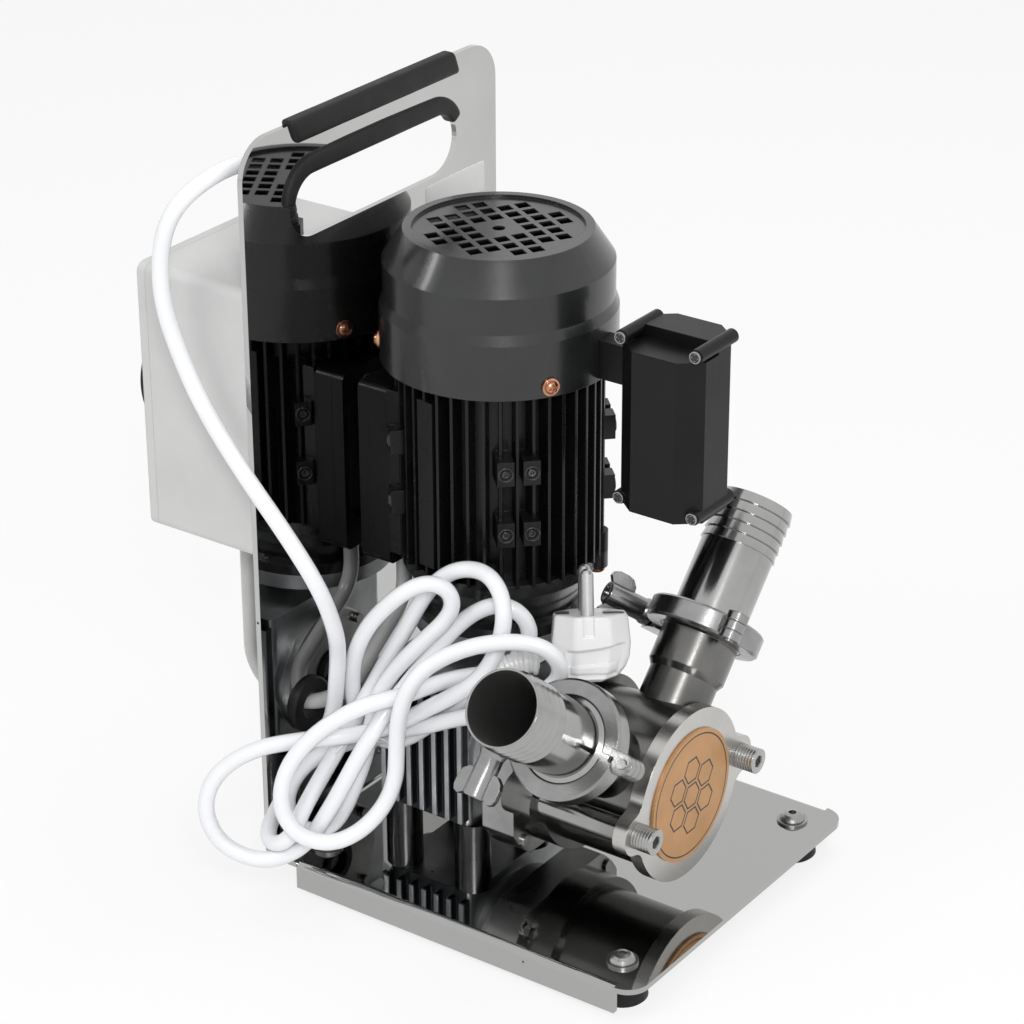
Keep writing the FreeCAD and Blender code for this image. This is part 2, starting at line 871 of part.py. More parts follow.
def make_cover_screws():
    """Cap screws of the rear cover."""
    screws = []
    outer = place.gearbox_rear - size.cover_plate
    for number, spot in enumerate(cover_screw_places()):
        name = "gearbox_screw_%d" % number
        shank = rod(name + "_shank", "X", (outer - 1, place.gearbox_rear + 7), spot, 1.5)
        head = rod(name + "_head", "X", (outer - 3, outer), spot, 2.8)
        screws.append(fuse(name, shank, head))
    return screws


def make_output_flange():
    """A round spacer between the gearbox and the adapter block."""
    profile = [
        (size.shaft_radius + 1, place.gearbox_face),
        (size.output_flange, place.gearbox_face),
        (size.output_flange, place.block_rear - 1),
        (size.output_flange - 1, place.block_rear),
        (size.shaft_radius + 1, place.block_rear),
    ]
    flange = turned("flange_disc", "X", profile, pump_axis)
    recess = rod("flange_recess", "X", (place.gearbox_face - 1, place.gearbox_face + size.seal_width),
                 pump_axis, size.seal_radius)
    return node("output_flange", cut("output_flange", flange, recess))


def ring(name, axis, span, middle, outer, inner):
    profile = [(inner, span[0]), (outer, span[0]), (outer, span[1]), (inner, span[1])]
    return turned(name, axis, profile, middle)


def bearing(name, axis, start, middle, outer, inner, width):
    """A ball bearing's ring with the groove between its races."""
    start = as_size(start)
    mid_low = inner + (outer - inner) * 0.35
    mid_high = inner + (outer - inner) * 0.65
    end = start + width
    profile = [
        (inner, start),
        (mid_low, start),
        (mid_low, start + 0.6),
        (mid_high, start + 0.6),
        (mid_high, start),
        (outer, start),
        (outer, end),
        (mid_high, end),
        (mid_high, end - 0.6),
        (mid_low, end - 0.6),
        (mid_low, end),
        (inner, end),
    ]
    return turned(name, axis, profile, middle)


def make_bearings():
    """Two bearings on the wheel shaft, two on the worm and two in the motor."""
    wheel_bore = size.shaft_radius + size.running_gap
    worm_bore = size.worm_journal + size.running_gap
    wall = place.gearbox_face - size.bearing_width - 2
    outer = size.bearing_radius
    width = size.bearing_width
    things = [
        bearing("rear_bearing", "X", place.gearbox_rear, pump_axis, outer, wheel_bore, width),
        bearing("front_bearing", "X", wall, pump_axis, outer, wheel_bore, width),
        bearing("worm_bearing_low", "Z", place.gearbox_bottom + 4, motor_axis, outer, worm_bore, width),
        bearing("worm_bearing_high", "Z", place.gearbox_top, motor_axis, outer, worm_bore, width),
        bearing("motor_bearing_low", "Z", place.motor_base + 11, motor_axis, outer, wheel_bore, width),
        bearing("motor_bearing_high", "Z", place.body_top, motor_axis, outer, wheel_bore, width),
    ]
    return node("bearings", group("bearings", *things))


def make_shaft_seals():
    """Rubber lip seals where the wheel shaft leaves the gearbox and enters the pump."""
    bore = size.shaft_radius + size.running_gap
    outer = place.gearbox_rear - size.cover_plate
    rear = ring("rear_seal", "X", (outer - 1, outer + size.seal_width - 2), pump_axis, size.seal_radius, bore)
    front = ring("front_seal", "X", (place.gearbox_face, place.gearbox_face + size.seal_width), pump_axis,
                 size.seal_radius, bore)
    floor = place.barrel_start + size.chamber_floor
    pump = ring("pump_seal", "X", (place.barrel_start - 8, floor), pump_axis, size.seal_radius, bore)
    return node("shaft_seals", group("shaft_seals", rear, front, pump))


def make_worm():
    """A single-start worm on its sleeve, cut by a helix."""
    middle_z = place.pump_z
    half = size.worm_length / 2
    pitch = size.gear_module * math.pi
    # two and a quarter turns below the wheel's axis put a gap of the thread against a wheel tooth
    turns = 2.25
    root = size.pitch_radius_worm - 1.2 * size.gear_module
    tip = size.pitch_radius_worm + size.gear_module
    body = doc.addObject("PartDesign::Body", "worm")
    core = outline(body, "worm_core", "XZ_Plane", [
        (0, middle_z - half),
        (root, middle_z - half),
        (root, middle_z + half),
        (0, middle_z + half),
    ])
    turn = body.newObject("PartDesign::Revolution", "worm_turn")
    turn.Profile = core
    turn.ReferenceAxis = (core, ["V_Axis"])
    turn.Angle = 360
    doc.recompute()
    base = middle_z - turns * pitch
    thick_root = 0.36 * pitch
    thick_tip = 0.14 * pitch
    tooth = outline(body, "worm_tooth", "XZ_Plane", [
        (root - 0.4, base - thick_root),
        (root, base - thick_root),
        (tip, base - thick_tip),
        (tip, base + thick_tip),
        (root, base + thick_root),
        (root - 0.4, base + thick_root),
    ])
    thread = body.newObject("PartDesign::AdditiveHelix", "worm_thread")
    thread.Profile = tooth
    thread.ReferenceAxis = (tooth, ["V_Axis"])
    thread.Mode = 0
    bound(thread, "Pitch", pitch)
    bound(thread, "Height", 2 * turns * pitch)
    thread.LeftHanded = False
    thread.Reversed = False
    put(body, place.motor_x, place.motor_y, 0)
    return node("worm", body)


def make_motor_shaft():
    """One shaft from the fan down through the rotor and the worm."""
    low = place.gearbox_bottom + 4
    worm_low = place.pump_z - size.worm_length / 2
    worm_high = place.pump_z + size.worm_length / 2
    profile = [
        (0, low),
        (size.worm_journal, low),
        (size.worm_journal, worm_low),
        (0, worm_low),
    ]
    stub = turned("shaft_stub", "Z", profile, motor_axis)
    step = place.gearbox_top + size.bearing_width
    upper = [
        (0, worm_high),
        (size.worm_journal, worm_high),
        (size.worm_journal, step),
        (size.shaft_radius, step),
        (size.shaft_radius, place.shield_top + 26),
        (0, place.shield_top + 26),
    ]
    return node("motor_shaft", group("motor_shaft", stub, turned("shaft_upper", "Z", upper, motor_axis)))


def make_rotor_core():
    """The laminated rotor with its end rings."""
    middle = (place.body_base + place.body_top) / 2
    half = size.stator_length / 2
    bore = size.shaft_radius
    profile = [
        (bore, middle - half - 6),
        (bore + 8, middle - half - 6),
        (bore + 8, middle - half),
        (size.rotor_radius, middle - half),
        (size.rotor_radius, middle + half),
        (bore + 8, middle + half),
        (bore + 8, middle + half + 6),
        (bore, middle + half + 6),
    ]
    return node("rotor_core", turned("rotor_core", "Z", profile, motor_axis))


def make_cooling_fan():
    """A radial fan: a hub, a back disc and flat blades in a polar pattern."""
    base = place.shield_top + 5
    top = base + size.fan_width
    body = doc.addObject("PartDesign::Body", "cooling_fan")
    hub = outline(body, "fan_hub", "XZ_Plane", [
        (size.shaft_radius, base),
        (size.fan_radius, base),
        (size.fan_radius, base + 2),
        (size.fan_hub, base + 2),
        (size.fan_hub, top),
        (size.shaft_radius, top),
    ])
    turn = body.newObject("PartDesign::Revolution", "fan_turn")
    turn.Profile = hub
    turn.ReferenceAxis = (hub, ["V_Axis"])
    turn.Angle = 360
    blade_sketch = outline(body, "fan_blade", "XY_Plane", [
        (size.fan_hub - 1, -1),
        (size.fan_radius, -1),
        (size.fan_radius, 1),
        (size.fan_hub - 1, 1),
    ], base + 1)
    blade = body.newObject("PartDesign::Pad", "fan_blade_pad")
    blade.Profile = blade_sketch
    bound(blade, "Length", size.fan_width - 1)
    pattern = polar(body, "fan_blade_ring", blade, blade_sketch, size.fan_blades)
    body.Tip = pattern
    put(body, place.motor_x, place.motor_y, 0)
    return node("cooling_fan", body)


def polar(body, name, feature, sketch, count):
    """Repeats a feature round the axis that is normal to its sketch."""
    pattern = body.newObject("PartDesign::PolarPattern", name)
    pattern.Originals = [feature]
    pattern.Axis = (sketch, ["N_Axis"])
    pattern.Angle = 360
    bound(pattern, "Occurrences", count)
    body.Tip = pattern
    return pattern


def make_motor_flange():
    """The lower bearing shield that stands on the gearbox flange."""
    low = place.motor_base
    top = place.body_base
    wide = size.input_flange_radius
    fins = size.motor_fins
    profile = [
        (size.shaft_radius + 2, low),
        (wide, low),
        (wide, low + 6),
        (wide - 3.5, low + 8),
        (wide - 1, top - 17),
        (fins - 2.7, top - 7),
        (fins - 2.7, top),
        (size.motor_bore, top),
        (size.motor_bore, low + 20),
        (size.bearing_radius, low + 18),
        (size.bearing_radius, low + 11),
        (size.shaft_radius + 2, low + 11),
    ]
    shield = turned("lower_shield", "Z", profile, motor_axis)
    lugs = [
        rod("tie_lug_%d" % number, "Z", (top - 9, top), tie_place(angle), 5.5)
        for number, angle in enumerate(TIE_ANGLES)
    ]
    taps = [
        rod("tie_tap_%d" % number, "Z", (top - 10, top + 1), tie_place(angle), 2.1)
        for number, angle in enumerate(TIE_ANGLES)
    ]
    taps += [
        rod("tie_spot_%d" % number, "Z", (top - 14, top - 9), tie_place(angle), 4.4)
        for number, angle in enumerate(TIE_ANGLES)
    ]
    seat, across, height = terminal_box_span()
    taps.append(box("shield_clear", (seat - 20, seat), (across[0] - 1.5, across[1] + 1.5), (top - 18, top + 1)))
    return node("motor_flange", cut("motor_flange", fuse("motor_flange_body", shield, *lugs), *taps))


TIE_ANGLES = (27, 117, 297)


def tie_place(angle):
    """Where one of the motor's tie screws sits."""
    reach = size.motor_fins - 3
    return (place.motor_x + reach * cosine(angle), place.motor_y + reach * sine(angle))


def make_tie_screws():
    """Screws that pull the lower shield against the finned body."""
    screws = []
    top = place.body_base
    for number, angle in enumerate(TIE_ANGLES):
        name = "tie_screw_%d" % number
        shank = rod(name + "_shank", "Z", (top - 10, top + 9), tie_place(angle), 2)
        head = rod(name + "_head", "Z", (top - 12.5, top - 9), tie_place(angle), 4)
        screws.append(fuse(name, shank, head))
    return screws


def make_motor_body():
    """Finned aluminium body with foot lugs, a nameplate seat and a seat for the terminal box."""
    low = place.body_base
    top = place.body_top
    body = doc.addObject("PartDesign::Body", "motor_ribs")
    core = outline(body, "motor_core", "XZ_Plane", [
        (size.motor_bore, low),
        (size.motor_core, low),
        (size.motor_core, top),
        (size.motor_bore, top),
    ])
    turn = body.newObject("PartDesign::Revolution", "motor_core_turn")
    turn.Profile = core
    turn.ReferenceAxis = (core, ["V_Axis"])
    turn.Angle = 360
    half = size.motor_fin_sheet / 2
    fin = outline(body, "motor_fin", "XY_Plane", [
        (size.motor_core - 1, -half - 0.3),
        (size.motor_fins, -half),
        (size.motor_fins, half),
        (size.motor_core - 1, half + 0.3),
    ], low)
    pad = body.newObject("PartDesign::Pad", "motor_fin_pad")
    pad.Profile = fin
    bound(pad, "Length", size.motor_body_length)
    polar(body, "motor_fin_ring", pad, fin, size.motor_fin_count)
    put(body, place.motor_x, place.motor_y, 0)
    extras = foot_lugs()
    seat = (size.motor_core - 1, size.motor_fins + 0.6)
    extras.append(spoke("name_seat", motor_axis, size.seat_angle, seat, 10, (low + 6, top - 10)))
    extras += [
        rod("tie_boss_%d" % number, "Z", (low, low + 11), tie_place(angle), 5.5)
        for number, angle in enumerate(TIE_ANGLES)
    ]
    face, pad_y, height = terminal_box_span()
    extras.append(box("terminal_pad", (face, place.motor_x - 15), pad_y, (low, height[1])))
    whole = fuse("motor_whole", body, *extras)
    clear = (place.motor_x - 2 * size.terminal_seat, face)
    y_low, y_high = pad_y
    tools = [
        box("terminal_clear", clear, (y_low - 1.5, y_high + 1.5), (height[0] - 1.5, height[1] + 1.5)),
        rod("motor_bore", "Z", (low - 1, top + 1), motor_axis, size.motor_bore),
    ] + lug_holes()
    tools += [
        rod("tie_hole_%d" % number, "Z", (low - 1, low + 10), tie_place(angle), 2.1)
        for number, angle in enumerate(TIE_ANGLES)
    ]
    return node("motor_body", cut("motor_body", whole, *tools))


def foot_lugs():
    """Pairs of lugs on the four diagonals, in two rows."""
    lugs = []
    reach = (size.motor_core - 1, size.lug_reach)
    for name, middle, diagonal, height in lug_places():
        span = centred(height, size.lug_height)
        lugs.append(spoke(name, middle, diagonal, reach, size.lug_width, span))
    return lugs


def lug_holes():
    """The drilled hole in each lug's outer face."""
    drill = (size.lug_reach - 9, size.lug_reach + 1)
    return [
        radial_rod(name + "_hole", middle, diagonal, drill, height, size.lug_hole)
        for name, middle, diagonal, height in lug_places()
    ]


def lug_places():
    """Name, foot of the radius, angle and height of every lug."""
    places = []
    for row, rise in enumerate((size.lug_low, size.lug_high)):
        for diagonal in (45, 135, 225, 315):
            for pair, side in enumerate((-1, 1)):
                shift = side * size.lug_offset
                middle = (place.motor_x - shift * sine(diagonal), place.motor_y + shift * cosine(diagonal))
                places.append(("foot_lug_%d_%d_%d" % (row, diagonal, pair), middle, diagonal, place.deck + rise))
    return places


def make_stator():
    """Stator core, and the windings above and below it."""
    middle = (place.body_base + place.body_top) / 2
    half = size.stator_length / 2
    outer = size.motor_bore
    windings = [ring("stator_core", "Z", (middle - half, middle + half), motor_axis, outer, size.stator_bore)]
    for number, (start, end) in enumerate(((-half - 12, -half), (half, half + 12))):
        span = (middle + start, middle + end)
        windings.append(ring("winding_%d" % number, "Z", span, motor_axis, outer - 2.5, size.stator_bore + 1.5))
    return node("stator", group("stator", *windings))


COWL_SCREW_ANGLES = (-30, -150, 90)
COWL_SCREW_RISE = 5.4


def make_upper_shield():
    """The upper bearing shield under the fan, with three lugs for the cowl."""
    low = place.body_top
    top = place.shield_top
    profile = [
        (size.shaft_radius + 2, low + size.bearing_width),
        (size.shaft_radius + 2, top),
        (20, top),
        (26, top - 3),
        (size.motor_fins - 2, top - 3),
        (size.motor_fins - 2, low),
        (size.bearing_radius, low),
        (size.bearing_radius, low + size.bearing_width),
    ]
    shield = turned("upper_disc", "Z", profile, motor_axis)
    reach = (size.motor_fins - 8, size.cowl_radius - size.cowl_sheet - 0.6)
    height = low + COWL_SCREW_RISE - 1
    lugs = []
    taps = []
    for number, angle in enumerate(COWL_SCREW_ANGLES):
        name = "cowl_lug_%d" % number
        lugs.append(spoke(name, motor_axis, angle, reach, 12, (low, low + 9)))
        drill = (size.motor_fins - 6, size.cowl_radius)
        taps.append(radial_rod("cowl_tap_%d" % number, motor_axis, angle, drill, height, 2.1))
    return node("upper_shield", cut("upper_shield", fuse("shield_whole", shield, *lugs), *taps))


def cowl_heights():
    """Heights of the cowl's rim, bevel, band and top."""
    rim = place.body_top - 1.1
    bevel = rim + size.cowl_rim
    waist = bevel + size.cowl_bevel
    band = waist + size.cowl_band
    return rim, bevel, waist, band, band + size.cowl_cone


def grille_holes(low, high):
    """Square holes on a turned lattice whose middle lies between the holes, without hub and rim."""
    holes = []
    for row in range(-4, 4):
        for column in range(-4, 4):
            if 1 < math.hypot(column + 0.5, row + 0.5) < 3.6:
                holes.append(lattice_hole(len(holes), column, row, low, high))
    return holes


def lattice_hole(number, column, row, low, high):
    half = size.grille_square / 2
    turn = size.grille_turn
    across = (column + 0.5) * size.grille_pitch - half
    up = (row + 0.5) * size.grille_pitch - half
    hole = doc.addObject("Part::Box", "grille_hole_%d" % number)
    bound(hole, "Length", size.grille_square)
    bound(hole, "Width", size.grille_square)
    bound(hole, "Height", high - low)
    hole.Placement = FreeCAD.Placement(V(), FreeCAD.Rotation(V(0, 0, 1), turn.value))
    x = place.motor_x + across * cosine(turn) - up * sine(turn)
    y = place.motor_y + across * sine(turn) + up * cosine(turn)
    return put(hole, x, y, low)


def make_fan_cowl():
    """A spun steel cowl with a bevelled shoulder, a cone and a sunk square-hole grille."""
    rim, bevel, waist, band, top = cowl_heights()
    wall = size.cowl_sheet
    sunk = 1.5
    profile = [
        (size.cowl_radius, rim),
        (size.cowl_radius, bevel),
        (size.cowl_waist, waist),
        (size.cowl_waist, band),
        (size.cowl_top, top),
        (size.cowl_disc, top),
        (size.cowl_disc, top - sunk),
        (0, top - sunk),
        (0, top - sunk - wall),
        (size.cowl_disc + wall, top - sunk - wall),
        (size.cowl_disc + wall, top - wall),
        (size.cowl_top - wall / 2, top - wall),
        (size.cowl_waist - wall, band - wall / 3),
        (size.cowl_waist - wall, waist - wall / 6),
        (size.cowl_radius - wall, bevel - wall / 6),
        (size.cowl_radius - wall, rim),
    ]
    shell = turned("cowl_shell", "Z", profile, motor_axis)
    tools = grille_holes(top - 5, top + 1)
    tools.append(rod("cowl_eye", "Z", (top - 5, top + 1), motor_axis, 3.2))
    height = place.body_top + COWL_SCREW_RISE - 1
    for number, angle in enumerate(COWL_SCREW_ANGLES):
        drill = (size.cowl_radius - 4, size.cowl_radius + 1)
        tools.append(radial_rod("cowl_hole_%d" % number, motor_axis, angle, drill, height, 2.3))
    return node("fan_cowl", cut("fan_cowl", shell, *tools))


def make_motor_screws():
    """Three pan-head screws round the cowl's rim and the tie screws below."""
    screws = []
    height = place.body_top + COWL_SCREW_RISE - 1
    rim = size.cowl_radius
    for number, angle in enumerate(COWL_SCREW_ANGLES):
        name = "cowl_screw_%d" % number
        head = radial_rod(name + "_head", motor_axis, angle, (rim, rim + 2.6), height, 4.7)
        shank = radial_rod(name + "_shank", motor_axis, angle, (rim - 8, rim + 1), height, 2)
        screws.append(fuse(name, head, shank))
    return node("motor_screws", group("motor_screws", *screws, *make_tie_screws()))


def terminal_box_span():
    """The terminal box's seat, its width and its height range."""
    face = place.motor_x - size.terminal_seat
    across = centred(place.motor_y - size.terminal_offset, size.terminal_width)
    low = place.deck + size.terminal_floor
    return face, across, (low, low + size.terminal_height)


def terminal_screw_places():
    face, across, height = terminal_box_span()
    middle = (across[0] + across[1]) / 2
    return [(middle, height[0] + 8), (middle, height[1] - 10)]


def make_terminal_box():
    """The terminal box: a walled base on the motor's seat and a lid with a sunk panel."""
    face, across, height = terminal_box_span()
    seam = face - size.terminal_base
    outer = prism("terminal_shell", "X", (seam, face), rectangle(across, height), 4)
    inner_y = (across[0] + 2.5, across[1] - 2.5)
    inner_z = (height[0] + 16, height[1] - 18)
    hollow = box("terminal_hollow", (seam - 1, face - 2.5), inner_y, inner_z)
    holes = [rod("terminal_tap_%d" % number, "X", (seam - 1, seam + 7), spot, 2.1)
             for number, spot in enumerate(terminal_screw_places())]
    node("terminal_base", cut("terminal_base", outer, hollow, *holes))
    lid_face = seam - size.terminal_lid
    lid = prism("lid_block", "X", (lid_face, seam), rectangle(across, height), 4)
    sunk = box("lid_sunk", (lid_face - 1, lid_face + 2.5), (across[0] + 5, across[1] - 5), inner_z)
    drills = [rod("lid_hole_%d" % number, "X", (lid_face - 1, seam + 1), spot, 2.3)
              for number, spot in enumerate(terminal_screw_places())]
    node("terminal_lid", cut("terminal_lid", lid, sunk, *drills))
    block_z = (inner_z[0] + 4, inner_z[0] + 34)
    block = box("terminal_block", (seam + 0.5, face - 2.5), (across[0] + 8, across[1] - 8), block_z)
    node("terminal_block", block)


def capacitor_outline(side, wall):
    """Half of the capacitor box's outline, on the near side or the far side of its seam."""
    half_x = size.capacitor_length / 2 - wall
    half_y = size.capacitor_width / 2 - wall
    x = size.capacitor_x
    y = place.motor_y
    knee_y = side * (half_y - size.capacitor_bevel_y)
    return [
        (x - half_x, y),
        (x - half_x, y + knee_y),
        (x - half_x + size.capacitor_bevel_x, y + side * half_y),
        (x + half_x - size.capacitor_bevel_x, y + side * half_y),
        (x + half_x, y + knee_y),
        (x + half_x, y),
    ]


def capacitor_screw_places():
    """Four corner screws of the capacitor box, along Y."""
    reach = size.capacitor_length / 2 - 2.5
    low = place.deck + size.capacitor_floor + 4
    high = place.deck + size.capacitor_floor + size.capacitor_rear_height - 2
    return [(size.capacitor_x + sign * reach, height) for sign in (-1, 1) for height in (low, high)]


def make_capacitor_box():
    """Two shells on an upright seam, with screw posts, round the run capacitor."""
    floor = place.deck + size.capacitor_floor
    wall = size.capacitor_wall
    y = place.motor_y
    cell_radius = size.capacitor_width / 2 - wall - 1.5
    for name, side, height in (
        ("capacitor_front", -1, size.capacitor_front_height),
        ("capacitor_rear", 1, size.capacitor_rear_height),
    ):
        span = (floor, floor + height)
        shell = prism(name + "_shell", "Z", span, capacitor_outline(side, 0))
        hollow = prism(name + "_hollow", "Z", (floor + wall, floor + size.capacitor_front_height - wall),
                       capacitor_outline(side, wall))
        posts = []
        bores = []
        for number, spot in enumerate(capacitor_screw_places()):
            reach = (y - size.capacitor_post, y) if side < 0 else (y, y + size.capacitor_post)
            posts.append(rod("%s_post_%d" % (name, number), "Y", reach, spot, size.capacitor_ear))
            drill = (y - size.capacitor_post - 1, y + 8)
            bores.append(rod("%s_bore_%d" % (name, number), "Y", drill, spot, 1.7))
        room = rod(name + "_room", "Z", (floor + wall, floor + 70), (size.capacitor_x, y), cell_radius + 0.3)
        arms = [capacitor_arm()] if side > 0 else []
        whole = fuse(name + "_whole", shell, *posts, *arms)
        node(name, cut(name, whole, hollow, room, *bores))
    cell = rod("cell_can", "Z", (floor + wall, floor + 66), (size.capacitor_x, y), cell_radius)
    tags = [box("cell_tag_%d" % number, centred(size.capacitor_x + offset, 1), centred(y, 5),
                (floor + 66, floor + 76)) for number, offset in enumerate((-5, 5))]
    node("capacitor_cell", fuse("capacitor_cell", cell, *tags))


def capacitor_arm():
    """The short arm from the fan cowl's side to the capacitor box's rear shell."""
    rise = (place.deck + size.neck_floor, place.deck + size.neck_floor + size.neck_height)
    inner = place.motor_x + size.cowl_radius - 6
    outer = size.capacitor_x - size.capacitor_length / 2 + size.capacitor_wall
    arm = box("neck_arm", (inner, outer), (place.motor_y, place.motor_y + size.neck_width), rise)
    cowl = rod("neck_cowl", "Z", (rise[0] - 1, rise[1] + 1), motor_axis, size.cowl_radius + 0.05)
    return cut("capacitor_arm", arm, cowl)


def make_box_screws():
    """Screws of the terminal box and of the capacitor box."""
    screws = []
    face = terminal_box_span()[0] - size.terminal_base - size.terminal_lid
    for number, spot in enumerate(terminal_screw_places()):
        name = "terminal_screw_%d" % number
        head = rod(name + "_head", "X", (face - 1.5, face), spot, 4.5)
        shank = rod(name + "_shank", "X", (face - 1, face + size.terminal_lid + 6), spot, 2)
        screws.append(fuse(name, head, shank))
    y = place.motor_y
    for number, spot in enumerate(capacitor_screw_places()):
        name = "capacitor_screw_%d" % number
        seat = y - size.capacitor_post
        head = rod(name + "_head", "Y", (seat - 1.5, seat), spot, 3)
        shank = rod(name + "_shank", "Y", (seat - 1, y + 7), spot, 1.5)
        screws.append(fuse(name, head, shank))
    return node("box_screws", group("box_screws", *screws))


def block_screw_places():
    """Four screws in the adapter block's corners, outside the pump flange."""
    return [
        (place.pump_y + sign_y * size.block_screw_y, place.pump_z + sign_z * size.block_screw_z)
        for sign_y in (-1, 1)
        for sign_z in (-1, 1)
    ]


def make_adapter_block():
    """A square block with corners rounded about the pump axis."""
    span = (place.block_rear, place.block_face)
    across = centred(place.pump_y, 2 * size.block_half_width)
    height = centred(place.pump_z, 2 * size.block_half_height)
    blank = box("block_blank", span, across, height)
    turned_blank = rod("block_round", "X", span, pump_axis, size.block_round)
    shaped = common("block_shaped", blank, turned_blank)
    through = (span[0] - 1, span[1] + 1)
    tools = [rod("block_bore", "X", through, pump_axis, size.shaft_radius + 3)]
    for number, spot in enumerate(block_screw_places()):
        tools.append(rod("block_tap_%d" % number, "X", (span[1] - 12, span[1] + 1), spot, 2.9))
    return node("adapter_block", cut("adapter_block", shaped, *tools))


def make_block_screws():
    """Countersunk cap screws in the adapter block's face."""
    screws = []
    face = place.block_face
    for number, spot in enumerate(block_screw_places()):
        name = "block_screw_%d" % number
        shank = rod(name + "_shank", "X", (face - 11, face + 1), spot, 2.8)
        head = rod(name + "_head", "X", (face, face + 1.5), spot, 3.3)
        screws.append(fuse(name, shank, head))
    return screws


def make_gearbox_screws():
    """All the cap screws that hold the gearbox, its cover and the adapter block."""
    screws = make_standoff_screws() + make_cover_screws() + make_block_screws()
    return node("gearbox_screws", group("gearbox_screws", *screws))


def eared_disc(name, span, radius):
    """A disc with an ear on each side for a clamping bolt, joined by hollow curves."""
    disc = rod(name + "_disc", "X", span, pump_axis, radius)
    parts = [disc]
    hollows = []
    blend = size.ear_blend
    # the centre of a hollow curve is one radius away from both the disc and the ear
    far = radius + blend
    near = size.ear_radius + blend
    across = (far * far - near * near + size.ear_reach * size.ear_reach) / (2 * size.ear_reach)
    up = root_of(far * far - across * across)
    for number, (side, rise) in enumerate(((-1, -1), (-1, 1), (1, -1), (1, 1))):
        centre = (place.pump_y + side * across, place.pump_z + rise * up)
        points = [pump_axis, (place.pump_y + side * size.ear_reach, place.pump_z), centre]
        if side * rise < 0:
            points.reverse()
        parts.append(prism("%s_web_%d" % (name, number), "X", span, points))
        through = (span[0] - 1, span[1] + 1)
        hollows.append(rod("%s_hollow_%d" % (name, number), "X", through, centre, blend))
    for number, side in enumerate((-1, 1)):
        spot = (place.pump_y + side * size.ear_reach, place.pump_z)
        parts.append(rod("%s_ear_%d" % (name, number), "X", span, spot, size.ear_radius))
    return cut(name, fuse(name + "_joined", *parts), *hollows)


def turn_port(thing, angle):
    """Swings a piece built along +Y about the pump axis to a port's angle."""
    thing.Placement = FreeCAD.Placement(V(), FreeCAD.Rotation(V(1, 0, 0), as_size(angle).value))
    return put(thing, place.port_x, place.pump_y, place.pump_z)


def ferrule_half():
    """Half of the gasket's thickness between two ferrules."""
    return 0.8


def port_neck(name, angle):
    """A welded neck that widens to a clamp ferrule."""
    start = size.chamber_radius - 4
    face = size.ferrule_centre - ferrule_half()
    rim = size.ferrule_centre - 3
    cone = size.ferrule_centre - 6.5
    neck = size.neck_radius
    tube = size.tube_radius
    wide = size.ferrule_radius
    profile = [
        (0, start),
        (neck, start),
        (neck, size.neck_end),
        (tube, size.neck_end + 3.5),
        (tube, cone),
        (wide, rim),
        (wide, face),
        (0, face),
    ]
    return turn_port(turned(name, "Y", profile), angle)


def port_bore(name, angle):
    """The bore of a neck, which opens out above the bevel."""
    start = size.chamber_radius / 2
    face = size.ferrule_centre
    profile = [
        (0, start),
        (size.neck_bore, start),
        (size.neck_bore, size.neck_end),
        (size.tail_bore, size.neck_end + 3.5),
        (size.tail_bore, face),
        (0, face),
    ]
    return turn_port(turned(name, "Y", profile), angle)


def make_pump_body():
    """Rear flange, barrel and two ports in one welded body, bored for the impeller."""
    flange = eared_disc("rear_flange", (place.block_face, place.barrel_start), size.flange_radius)
    barrel = rod("barrel", "X", (place.barrel_start - 1, place.barrel_end), pump_axis, size.barrel_radius)
    outlet = port_neck("outlet_neck", size.outlet_angle)
    inlet = port_neck("inlet_neck", size.inlet_angle)
    whole = fuse("pump_whole", flange, barrel, outlet, inlet)
    floor = place.barrel_start + size.chamber_floor
    seal_start = place.barrel_start - 8
    bolt_y = size.ear_reach
    tools = [
        rod("impeller_chamber", "X", (floor, place.barrel_end + 1), pump_axis, size.chamber_radius),
        rod("pump_shaft_bore", "X", (place.block_face - 1, floor + 1), pump_axis, size.shaft_radius + 1),
        rod("shaft_seal_seat", "X", (seal_start, floor + 1), pump_axis, size.seal_radius),
        port_bore("outlet_bore", size.outlet_angle),
        port_bore("inlet_bore", size.inlet_angle),
        ring("seal_groove", "X", (place.barrel_end - 2, place.barrel_end + 1), pump_axis,
             size.chamber_radius + 3.5, size.chamber_radius + 1.5),
    ]
    for number, sign in enumerate((-1, 1)):
        spot = (place.pump_y + sign * bolt_y, place.pump_z)
        drill = (place.block_face - 1, place.barrel_start + 1)
        tools.append(rod("ear_tap_%d" % number, "X", drill, spot, size.bolt_radius + 0.1))
        sleeve = (place.barrel_start, place.barrel_end + 1)
        tools.append(rod("sleeve_room_%d" % number, "X", sleeve, spot, size.sleeve_radius + 0.1))
    return node("pump_body", cut("pump_body", whole, *tools))


